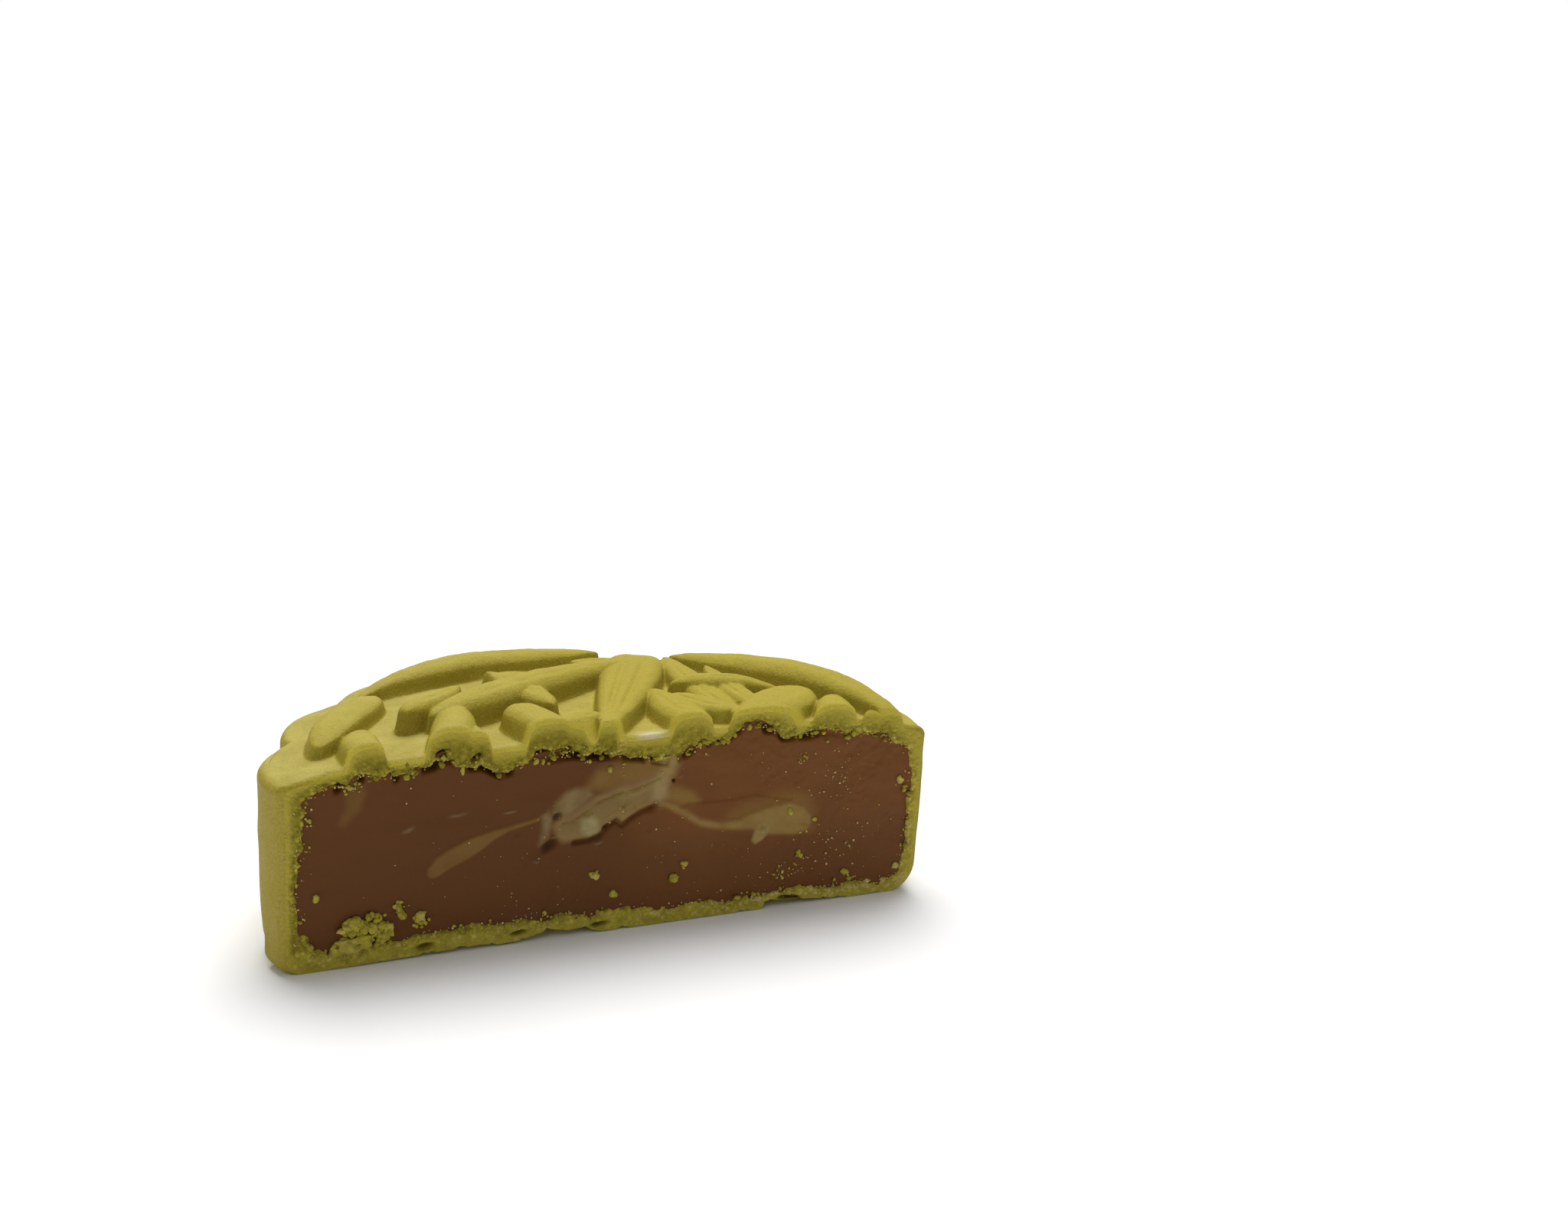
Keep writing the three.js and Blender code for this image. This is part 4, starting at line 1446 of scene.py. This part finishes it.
@dataclass
class Crumbs:
    """Loose dough crumbs that the knife left on the cut; a few tiny cream ones on the custard are painted
    glints.
    """

    cake: CakeForm
    paste: Paste
    edge: PasteEdge
    seed: int = 5
    along_edges: int = 420
    scattered: int = 150
    sparkles: int = 420
    hanging: int = 120
    edge_lengths: tuple[float, ...] = (68.0, 68.0, 17.0, 17.0)
    small_ball: tuple[int, int] = (6, 8)
    tiny_ball: tuple[int, int] = (4, 6)
    big_ball: tuple[int, int] = (14, 20)
    torn_ball: tuple[int, int] = (8, 12)
    lumpiness: Noise = Noise(0.45, 0.4, 181, 2)
    roughness: float = 0.16

    @staticmethod
    def ball(rings: int, columns: int) -> tuple[Points, Faces]:
        """A round grid, with the points that meet at its poles and its seam welded.

        Args:
            rings: cells from pole to pole.
            columns: cells round it.

        Returns:
            Its points and faces.
        """
        around = np.linspace(0, 2 * math.pi, columns + 1)
        lat, lon = np.meshgrid(np.linspace(0, math.pi, rings + 1), around, indexing="ij")
        points = np.stack([np.sin(lat) * np.cos(lon), np.sin(lat) * np.sin(lon), np.cos(lat)], -1)
        # Welded at ten times its size, so that only points that truly meet become one
        patch = joined([grid_patch(points * 10)])
        patch.turned_to(patch.centres())
        return patch.points / 10, patch.faces

    def places(self, rng: np.random.Generator) -> tuple[Points, np.ndarray]:
        """Places on the paste as (x, height) and sizes of the small crumbs.

        Args:
            rng: the seeded generator.

        Returns:
            Places, one a row, and sizes in millimetres.
        """
        spots, sizes = [], []
        for heap in HEAPS:
            spread = rng.normal(0, 0.45, (heap.count, 2)).clip(-1, 1)
            spots.append(np.array([heap.x, heap.height]) + spread * np.array([heap.long, heap.tall]))
            sizes.append(rng.uniform(*heap.sizes, heap.count))
        at, inward = self.at_edge(rng, self.along_edges)
        spots.append(at + inward * (rng.exponential(0.45, (len(at), 1)) - 0.35))
        sizes.append(0.1 + rng.exponential(0.13, len(at)).clip(0, 0.75))
        across, up = rng.triangular(-33, 24, 33.5, self.scattered), rng.uniform(2.4, 19, self.scattered)
        spots.append(np.stack([across, up], 1))
        sizes.append(0.07 + rng.exponential(0.05, self.scattered).clip(0, 0.25))
        return np.concatenate(spots), np.concatenate(sizes)

    def at_edge(self, rng: np.random.Generator, count: int) -> tuple[Points, Points]:
        """Random places on the paste's outline, with the direction into the paste at each.

        Args:
            rng: the seeded generator.
            count: how many.

        Returns:
            Places as (x, height) and directions, one a row.
        """
        lines = (self.edge.bottom, self.edge.top, self.edge.left, self.edge.right)
        whole = sum(self.edge_lengths)
        picked = [
            PasteEdge.along(line, rng.uniform(0, 1, round(count * length / whole)))
            for line, length in zip(lines, self.edge_lengths)
        ]
        at = np.concatenate(picked)[:, [0, 2]]
        inward = CUT_MIDDLE[[0, 2]] - at
        return at, inward / np.linalg.norm(inward, axis=1, keepdims=True)

    def placed(
        self,
        shape: tuple[int, int],
        places: Points,
        sizes: Points,
        tints: np.ndarray,
        rng: np.random.Generator,
    ) -> Patch:
        """Lumpy balls at places, each stretched and turned in its own way.

        Args:
            shape: rings and columns of a ball.
            places: middles, one a row.
            sizes: three sizes a ball.
            tints: one tint a ball.
            rng: the seeded generator.

        Returns:
            All balls as one patch.
        """
        ball, faces = self.ball(*shape)
        count, corners = len(places), len(ball)
        turn = np.linalg.qr(rng.normal(0, 1, (count, 3, 3)))[0]
        turn *= np.sign(np.linalg.det(turn))[:, None, None]
        points = (ball[None] @ turn) * sizes[:, None, :] / 2
        lump = self.lumpiness.at(points + places[:, None, :])[..., None]
        rough = 1 + lump + self.roughness * rng.uniform(-1, 1, (count, corners, 1))
        points = points * rough + places[:, None, :]
        all_faces = faces[None] + (np.arange(count) * corners)[:, None, None]
        ones = np.ones(count * corners)
        masks = {"crumble": 0.9 * ones, "tint": np.repeat(tints, corners), "raw": ones}
        return Patch(points.reshape(-1, 3), all_faces.reshape(-1, 4), masks)

    def build(self, finish: bpy.types.Material) -> bpy.types.Object:
        """Makes all crumbs as one piece of small lumpy balls, sunk a little in the face.

        Args:
            finish: their material.

        Returns:
            The piece.
        """
        rng = np.random.default_rng(self.seed)
        spots, sizes = self.places(rng)
        depth = self.paste.relief(spots[:, 0], spots[:, 1]) - sizes * rng.uniform(0.1, 0.6, len(sizes))
        # Crumbs under 0.28 mm are cream; on the custard blob they are painted glints.
        small = self.placed(
            self.small_ball,
            np.stack([spots[:, 0], depth, spots[:, 1]], 1),
            rng.uniform(0.65, 1.25, (len(sizes), 3)) * sizes[:, None],
            np.where(sizes < 0.28, rng.uniform(0.86, 1, len(sizes)), rng.uniform(0.5, 0.86, len(sizes))),
            rng,
        )
        at, inward = self.at_edge(rng, self.sparkles)
        at = at - inward * rng.uniform(-0.2, 2.0, (len(at), 1))
        roof = self.cake.top_height(np.abs(at[:, 0])) - 0.25
        at = at[(np.abs(at[:, 0] + 0.6) < 35.1) & (at[:, 1] > 0.9) & (at[:, 1] < roof)]
        lift = rng.uniform(-0.16, 0.02, len(at))
        tiny = self.placed(
            self.tiny_ball,
            np.stack([at[:, 0], lift, at[:, 1]], 1),
            rng.uniform(0.08, 0.24, (len(at), 3)),
            rng.uniform(0.86, 1, len(at)),
            rng,
        )
        x, z, size, tint, stretch = np.array([astuple(lump) for lump in LUMPS]).T
        big = self.placed(
            self.big_ball,
            np.stack([x, self.paste.relief(x, z) - 0.12 * size, z], 1),
            np.stack([size * stretch**0.5, 0.75 * size, size / stretch**0.5], 1),
            tint,
            rng,
        )
        x = rng.uniform(-31, 31, self.hanging)
        z = line_at(self.edge.top, x) + rng.uniform(-0.5, 0.9, self.hanging)
        size = rng.uniform(0.2, 0.6, self.hanging)
        torn = self.placed(
            self.torn_ball,
            np.stack([x, 0.2 + rng.uniform(-0.15, 0.2, self.hanging), z], 1),
            rng.uniform(0.45, 1.6, (self.hanging, 3)) * size[:, None],
            rng.uniform(0.1, 0.7, self.hanging),
            rng,
        )
        return mesh_piece("crumbs", stacked([small, tiny, big, torn]), self.cake, finish)


# Finishes


class Finish(Enum):
    """The finishes of the cake."""

    CRUST = "baked_crust"
    CRUMB = "torn_dough"
    PASTE = "bean_paste"
    CUSTARD = "durian_custard"


Socket = bpy.types.NodeSocket
Source = Socket | Colour | float


class Look:
    """A material in the making: its nodes, its links and its Principled shader."""

    def __init__(self, name: str, specular: float = 0.5) -> None:
        """Starts a material with only the shader on its output.

        Args:
            name: its name.
            specular: level of the shader's mirror-like share.
        """
        self.material = bpy.data.materials.new(name)
        self.material.use_nodes = True
        self.nodes, self.links = self.material.node_tree.nodes, self.material.node_tree.links
        self.shader = self.nodes["Principled BSDF"].inputs
        self.shader["Specular IOR Level"].default_value = specular

    def feed(self, value: Source, socket: Socket) -> None:
        """Gives an input its value.

        Args:
            value: a socket to link, a colour or a number.
            socket: the input.
        """
        if isinstance(value, Socket):
            self.links.new(value, socket)
        else:
            socket.default_value = (*value, 1.0) if isinstance(value, tuple) else value

    def mask(self, name: str) -> Socket:
        """The piece's own mask of that name, from 0 to 1.

        Args:
            name: name of the mask.

        Returns:
            Its socket.
        """
        node = self.nodes.new("ShaderNodeAttribute")
        node.attribute_name = name
        return node.outputs["Fac"]

    def mapped(self, value: Socket, low: Pair, high: Pair = (0, 1)) -> Socket:
        """A value carried from one range to another, held at its ends.

        Args:
            value: the value.
            low: the range that it comes from.
            high: the range that it goes to.

        Returns:
            The carried value.
        """
        node = self.nodes.new("ShaderNodeMapRange")
        for name, number in zip(("From Min", "From Max", "To Min", "To Max"), (*low, *high)):
            node.inputs[name].default_value = number
        self.feed(value, node.inputs["Value"])
        return node.outputs["Result"]

    def scaled(self, value: Socket, factor: float) -> Socket:
        """A value times a number.

        Args:
            value: the value.
            factor: the number.

        Returns:
            The product.
        """
        node = self.nodes.new("ShaderNodeMath")
        node.operation = "MULTIPLY"
        self.feed(value, node.inputs[0])
        self.feed(factor, node.inputs[1])
        return node.outputs[0]

    def mixed(self, share: Source, first: Source, second: Source) -> Socket:
        """Two colours mixed.

        Args:
            share: share of the second.
            first: the first colour.
            second: the second colour.

        Returns:
            The mixed colour.
        """
        node = self.nodes.new("ShaderNodeMix")
        node.data_type = "RGBA"
        for value, index in ((share, 0), (first, 6), (second, 7)):
            self.feed(value, node.inputs[index])
        return node.outputs[2]

    def grained(self, group: bpy.types.NodeTree, grain: float, mottle: float) -> bpy.types.NodeOutputs:
        """The grain group on Object coordinates.

        Args:
            group: the grain group.
            grain: scale of its fine grain, a metre.
            mottle: scale of its patches, a metre.

        Returns:
            The group's outputs.
        """
        place, node = self.nodes.new("ShaderNodeTexCoord"), self.nodes.new("ShaderNodeGroup")
        node.node_tree = group
        node.inputs["Grain"].default_value = grain
        node.inputs["Mottle"].default_value = mottle
        self.feed(place.outputs["Object"], node.inputs["Vector"])
        return node.outputs

    def bumped(self, height: Socket, strength: float, distance: float) -> None:
        """Feeds a height through a bump into the shader's normal.

        Args:
            height: the height, about 0 to 1.
            strength: how much of the bump shows.
            distance: what a height of 1 stands for, in metres.
        """
        node = self.nodes.new("ShaderNodeBump")
        node.inputs["Strength"].default_value = strength
        node.inputs["Distance"].default_value = distance
        self.feed(height, node.inputs["Height"])
        self.feed(node.outputs["Normal"], self.shader["Normal"])


def grain_group() -> bpy.types.NodeTree:
    """Fine grain as a group: a vector and two scales in, a height, a mottle and specks out."""
    tree = bpy.data.node_groups.new("fine_grain", "ShaderNodeTree")
    tree.interface.new_socket("Vector", in_out="INPUT", socket_type="NodeSocketVector")
    sides = {"INPUT": ("Grain", "Mottle"), "OUTPUT": ("Height", "Patches", "Specks")}
    for side, names in sides.items():
        for name in names:
            tree.interface.new_socket(name, in_out=side, socket_type="NodeSocketFloat")
    nodes, links = tree.nodes, tree.links
    source, result = nodes.new("NodeGroupInput"), nodes.new("NodeGroupOutput")
    fine, broad = nodes.new("ShaderNodeTexNoise"), nodes.new("ShaderNodeTexNoise")
    fine.inputs["Detail"].default_value = 4
    fine.inputs["Roughness"].default_value = 0.6
    broad.inputs["Detail"].default_value = 3
    specks, ramp = nodes.new("ShaderNodeTexVoronoi"), nodes.new("ShaderNodeMapRange")
    for name, number in (("From Min", 0.12), ("From Max", 0.3), ("To Min", 1), ("To Max", 0)):
        ramp.inputs[name].default_value = number
    for node, scale in ((fine, "Grain"), (broad, "Mottle"), (specks, "Grain")):
        links.new(source.outputs["Vector"], node.inputs["Vector"])
        links.new(source.outputs[scale], node.inputs["Scale"])
    links.new(specks.outputs["Distance"], ramp.inputs["Value"])
    links.new(fine.outputs["Fac"], result.inputs["Height"])
    links.new(broad.outputs["Fac"], result.inputs["Patches"])
    links.new(ramp.outputs["Result"], result.inputs["Specks"])
    return tree


@dataclass(frozen=True)
class DoughFinish:
    """Matte baked dough with a fine grain and faint paler patches, with painted shade where it is steep."""

    dark: Colour = (0.41, 0.345, 0.076)
    light: Colour = (0.52, 0.445, 0.118)
    ripe: Colour = (0.44, 0.35, 0.03)
    # The flank colour is painted shade on steep sides and in the grain's hollows; the upright one is painted
    # shade on upright sides and also the tint of dark specks.
    flank_shade: Colour = (0.34, 0.265, 0.016)
    upright_shade_and_speck: Colour = (0.375, 0.288, 0.042)
    # Colour of the rolled rim at the cut: pale crumbly dough and painted light.
    edge: Colour = (0.66, 0.53, 0.05)
    # Pale colour of the moist patch: a painted highlight.
    moist_highlight: Colour = (0.64, 0.57, 0.34)
    roughness: Pair = (0.5, 0.68)
    specular: float = 0.06
    coat: float = 0.4
    coat_roughness: float = 0.2
    grain: float = 4200.0
    mottle: float = 300.0
    bump: float = 0.75
    bump_depth: float = 0.00018

    def make(self, group: bpy.types.NodeTree) -> bpy.types.Material:
        """Builds the material.

        Args:
            group: the shared grain group.

        Returns:
            The material.
        """
        look = Look(Finish.CRUST.value, self.specular)
        grain = look.grained(group, self.grain, self.mottle)
        height, patches, specks = grain["Height"], grain["Patches"], grain["Specks"]
        steep, moist_highlight = look.mask("steep"), look.mask("moist_highlight")
        base = look.mixed(look.mapped(patches, (0.35, 0.68)), self.dark, self.light)
        for share, colour in (
            (look.scaled(look.mask("ripe"), 0.85), self.ripe),
            # Painted shade on the flanks and upright sides, by steepness
            (look.mapped(steep, (0.01, 0.4)), self.flank_shade),
            (look.mapped(steep, (0.7, 0.98)), self.upright_shade_and_speck),
            # Pale crumbly dough and painted light on the rolled rim at the cut
            (look.scaled(look.mask("edge"), 0.8), self.edge),
            # Paler on the grain's tops, and darker in its hollows with painted shade
            (look.mapped(height, (0.4, 0.7), (0, 0.45)), self.light),
            (look.mapped(height, (0.3, 0.5), (0.4, 0)), self.flank_shade),
            (look.mapped(specks, (0, 1), (0, 0.25)), self.upright_shade_and_speck),
            # The moist patch, its pale colour a painted highlight
            (moist_highlight, self.moist_highlight),
        ):
            base = look.mixed(share, base, colour)
        look.feed(base, look.shader["Base Color"])
        look.feed(look.mapped(patches, (0.3, 0.7), self.roughness), look.shader["Roughness"])
        look.feed(look.scaled(moist_highlight, self.coat), look.shader["Coat Weight"])
        look.feed(self.coat_roughness, look.shader["Coat Roughness"])
        look.bumped(height, self.bump, self.bump_depth)
        return look.material


@dataclass(frozen=True)
class CrumbFinish:
    """Cut dough: baked outside, green and raw inside, torn into grains of different tints."""

    baked: Colour = (0.46, 0.375, 0.048)
    raw: Colour = (0.235, 0.178, 0.011)
    pale: Colour = (0.6, 0.5, 0.065)
    # Deep brown of dark grains, which also paints the shade between grains and in the holes.
    deep: Colour = (0.15, 0.118, 0.008)
    # Cream of the palest crumbs, which also paints the glints on the wet custard.
    cream_and_glint: Colour = (0.66, 0.54, 0.27)
    roughness: float = 0.65
    specular: float = 0.1
    grain: float = 4200.0
    mottle: float = 700.0
    bump: float = 0.8
    bump_depth: float = 0.00025

    def make(self, group: bpy.types.NodeTree) -> bpy.types.Material:
        """Builds the material.

        Args:
            group: the shared grain group.

        Returns:
            The material.
        """
        look = Look(Finish.CRUMB.value, self.specular)
        grain = look.grained(group, self.grain, self.mottle)
        tint = look.mask("tint")
        crumb = look.mixed(look.mapped(tint, (0.1, 0.9), (0.15, 1)), self.deep, self.pale)
        for share, colour in (
            (look.mapped(grain["Patches"], (0.38, 0.62), (0, 0.3)), self.deep),
            (look.mapped(grain["Specks"], (0, 1), (0, 0.2)), self.pale),
            # The palest grains and crumbs in cream, which also makes the painted glints
            (look.mapped(tint, (0.82, 1), (0, 0.8)), self.cream_and_glint),
        ):
            crumb = look.mixed(share, crumb, colour)
        dough = look.mixed(look.mask("raw"), self.baked, self.raw)
        base = look.mixed(look.mapped(look.mask("crumble"), (0.1, 0.9)), dough, crumb)
        look.feed(base, look.shader["Base Color"])
        look.feed(self.roughness, look.shader["Roughness"])
        look.bumped(grain["Height"], self.bump, self.bump_depth)
        return look.material


@dataclass(frozen=True)
class MoistFinish:
    """Dense satin paste and the custard smeared over it, glossy under a coat where it is wet."""

    finish: Finish
    olive: Colour
    pale: Colour
    # Colour of the deeper pits: painted shade.
    pit: Colour
    deep: Colour = (0.121, 0.0455, 0.0115)
    warm: Colour = (0.170, 0.065, 0.0165)
    roughness: Pair = (0.5, 0.3)
    coat: float = 0.4
    coat_roughness: float = 0.12
    specular: float = 0.1
    grain: float = 3600.0
    mottle: float = 240.0
    bump: float = 0.2
    bump_depth: float = 0.00012

    def make(self, group: bpy.types.NodeTree) -> bpy.types.Material:
        """Builds the material.

        Args:
            group: the shared grain group.

        Returns:
            The material.
        """
        look = Look(self.finish.value, self.specular)
        grain = look.grained(group, self.grain, self.mottle)
        wet = look.mask("wet")
        base = look.mixed(look.mask("warmth"), self.deep, self.warm)
        for share, colour in (
            (look.mapped(grain["Patches"], (0.4, 0.7), (0, 0.3)), self.deep),
            (look.mask("olive"), self.olive),
            (look.mask("pale"), self.pale),
            # Painted shade in the deeper pits
            (look.mask("dark"), self.pit),
        ):
            base = look.mixed(share, base, colour)
        look.feed(base, look.shader["Base Color"])
        look.feed(look.mapped(wet, (0, 1), self.roughness), look.shader["Roughness"])
        look.feed(look.scaled(wet, self.coat), look.shader["Coat Weight"])
        look.feed(self.coat_roughness, look.shader["Coat Roughness"])
        look.bumped(grain["Height"], self.bump, self.bump_depth)
        return look.material


def make_finishes() -> dict[Finish, bpy.types.Material]:
    """All materials by finish, sharing one grain group."""
    group = grain_group()
    finishes = {
        Finish.CRUST: DoughFinish(),
        Finish.CRUMB: CrumbFinish(),
        Finish.PASTE: MoistFinish(
            Finish.PASTE, olive=(0.30, 0.185, 0.040), pale=(0.39, 0.34, 0.15), pit=(0.05, 0.02, 0.006)
        ),
        Finish.CUSTARD: MoistFinish(
            Finish.CUSTARD, olive=(0.265, 0.183, 0.031), pale=(0.35, 0.318, 0.128), pit=(0.06, 0.025, 0.007),
            coat=0.45, bump=0.4,
        ),
    }
    return {name: finish.make(group) for name, finish in finishes.items()}


# The room


@dataclass
class Studio:
    """Pale floor, soft light from above and the camera."""

    camera_at: Triple = (-60.8, -155.0, 78.6)
    forward: Triple = (0.4338, 0.8661, -0.2485)
    up: Triple = (0.052, 0.2513, 0.9665)
    focal_pixels: float = 2200.0
    image_width: float = 2048.0
    sensor: float = 36.0
    clip_start: float = 0.01
    floor_reach: float = 3.0
    lamp_at: Triple = (-0.36, -0.42, 0.5)
    lamp_target: Triple = (0, -0.018, 0.012)
    lamp_size: float = 0.06
    lamp_energy: float = 0.25
    sun_from: Triple = (0.13, 0.45, 1.0)
    sun_angle: float = math.radians(48)
    sun_energy: float = 2.95
    surround: float = 0.3

    def place_camera(self, cake: CakeForm) -> None:
        """Makes the camera at its fitted place, its lens from the focal length in pixels.

        Args:
            cake: gives the middle that the part's frame starts from.
        """
        data = bpy.data.cameras.new("camera")
        data.sensor_width = self.sensor
        data.lens = self.focal_pixels / self.image_width * self.sensor
        data.clip_start = self.clip_start
        camera = bpy.data.objects.new("camera", data)
        ahead = Vector(self.forward).normalized()
        right = ahead.cross(Vector(self.up)).normalized()
        turn = Matrix((right, right.cross(ahead), -ahead)).transposed().to_4x4()
        place = (Vector(self.camera_at) - Vector((*cake.middle(), 0.0))) * MM
        camera.matrix_world = Matrix.Translation(place) @ turn
        bpy.context.scene.collection.objects.link(camera)
        bpy.context.scene.camera = camera

    def place_floor(self) -> None:
        """A wide white sheet that the half stands on."""
        mesh = bpy.data.meshes.new("floor")
        reach = self.floor_reach
        corners = [(-reach, -reach, 0), (reach, -reach, 0), (reach, reach, 0), (-reach, reach, 0)]
        mesh.from_pydata(corners, [], [(0, 1, 2, 3)])
        sheet = Look("white_sheet")
        sheet.feed((0.97, 0.97, 0.97), sheet.shader["Base Color"])
        sheet.feed(0.9, sheet.shader["Roughness"])
        mesh.materials.append(sheet.material)
        floor = bpy.data.objects.new("floor", mesh)
        bpy.context.scene.collection.objects.link(floor)

    def place_light(self, data: bpy.types.Light, energy: float, shining: Vector) -> bpy.types.Object:
        """A lamp in the scene.

        Args:
            data: its data, which gives its kind and name.
            energy: its strength.
            shining: the direction in which it shines.

        Returns:
            The lamp.
        """
        data.energy = energy
        lamp = bpy.data.objects.new(data.name, data)
        lamp.rotation_euler = shining.to_track_quat("-Z", "Y").to_euler()
        bpy.context.scene.collection.objects.link(lamp)
        return lamp

    def place_lights(self) -> None:
        """A broad soft sun from above and a little behind, and a small lamp for glints on what is wet."""
        small = bpy.data.lights.new("lamp", "AREA")
        small.size = self.lamp_size
        lamp = self.place_light(small, self.lamp_energy, Vector(self.lamp_target) - Vector(self.lamp_at))
        lamp.location = self.lamp_at
        sun = bpy.data.lights.new("window", "SUN")
        sun.angle = self.sun_angle
        self.place_light(sun, self.sun_energy, -Vector(self.sun_from))

    def place_surround(self) -> None:
        """A pale surround that lights the half softly and looks white."""
        world = bpy.data.worlds.new("surround")
        world.use_nodes = True
        nodes, links = world.node_tree.nodes, world.node_tree.links
        soft, seen = nodes["Background"], nodes.new("ShaderNodeBackground")
        for node, strength in ((soft, self.surround), (seen, 1.0)):
            node.inputs["Color"].default_value = (1, 1, 1, 1)
            node.inputs["Strength"].default_value = strength
        path, both = nodes.new("ShaderNodeLightPath"), nodes.new("ShaderNodeMixShader")
        links.new(path.outputs["Is Camera Ray"], both.inputs[0])
        links.new(soft.outputs[0], both.inputs[1])
        links.new(seen.outputs[0], both.inputs[2])
        links.new(both.outputs[0], nodes["World Output"].inputs["Surface"])
        bpy.context.scene.world = world

    def build(self, cake: CakeForm) -> None:
        """Sets the room, with plain colours on screen.

        Args:
            cake: gives the middle that the part's frame starts from.
        """
        self.place_floor()
        self.place_lights()
        self.place_surround()
        self.place_camera(cake)
        bpy.context.scene.view_settings.view_transform = "Standard"


def main() -> None:
    """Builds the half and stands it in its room."""
    logging.basicConfig(level=logging.INFO, format="%(name)s %(message)s")
    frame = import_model()
    cake, pattern, edge = CakeForm(), LeafPattern(), PasteEdge()
    finishes = make_finishes()
    paste = Paste(cake, edge, CutFace())
    crust_pieces = Crust(cake, pattern, edge).build(finishes)
    paste_piece = paste.build(finishes[Finish.PASTE])
    custard_piece = CustardCore(cake, CustardLine(), paste).build(finishes[Finish.CUSTARD])
    crumbs = Crumbs(cake, paste, edge).build(finishes[Finish.CRUMB])
    slots = {
        "crust": (Finish.CRUST, [*crust_pieces, crumbs]),
        "filling": (Finish.PASTE, [paste_piece]),
        "custard": (Finish.CUSTARD, [custard_piece]),
    }
    for slot, (finish, pieces) in slots.items():
        for piece in pieces:
            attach(piece, "root")
        solid = frame["nodes"][slot].data
        solid.materials.clear()
        solid.materials.append(finishes[finish])
    Studio().build(cake)


if __name__ == "__main__":
    main()
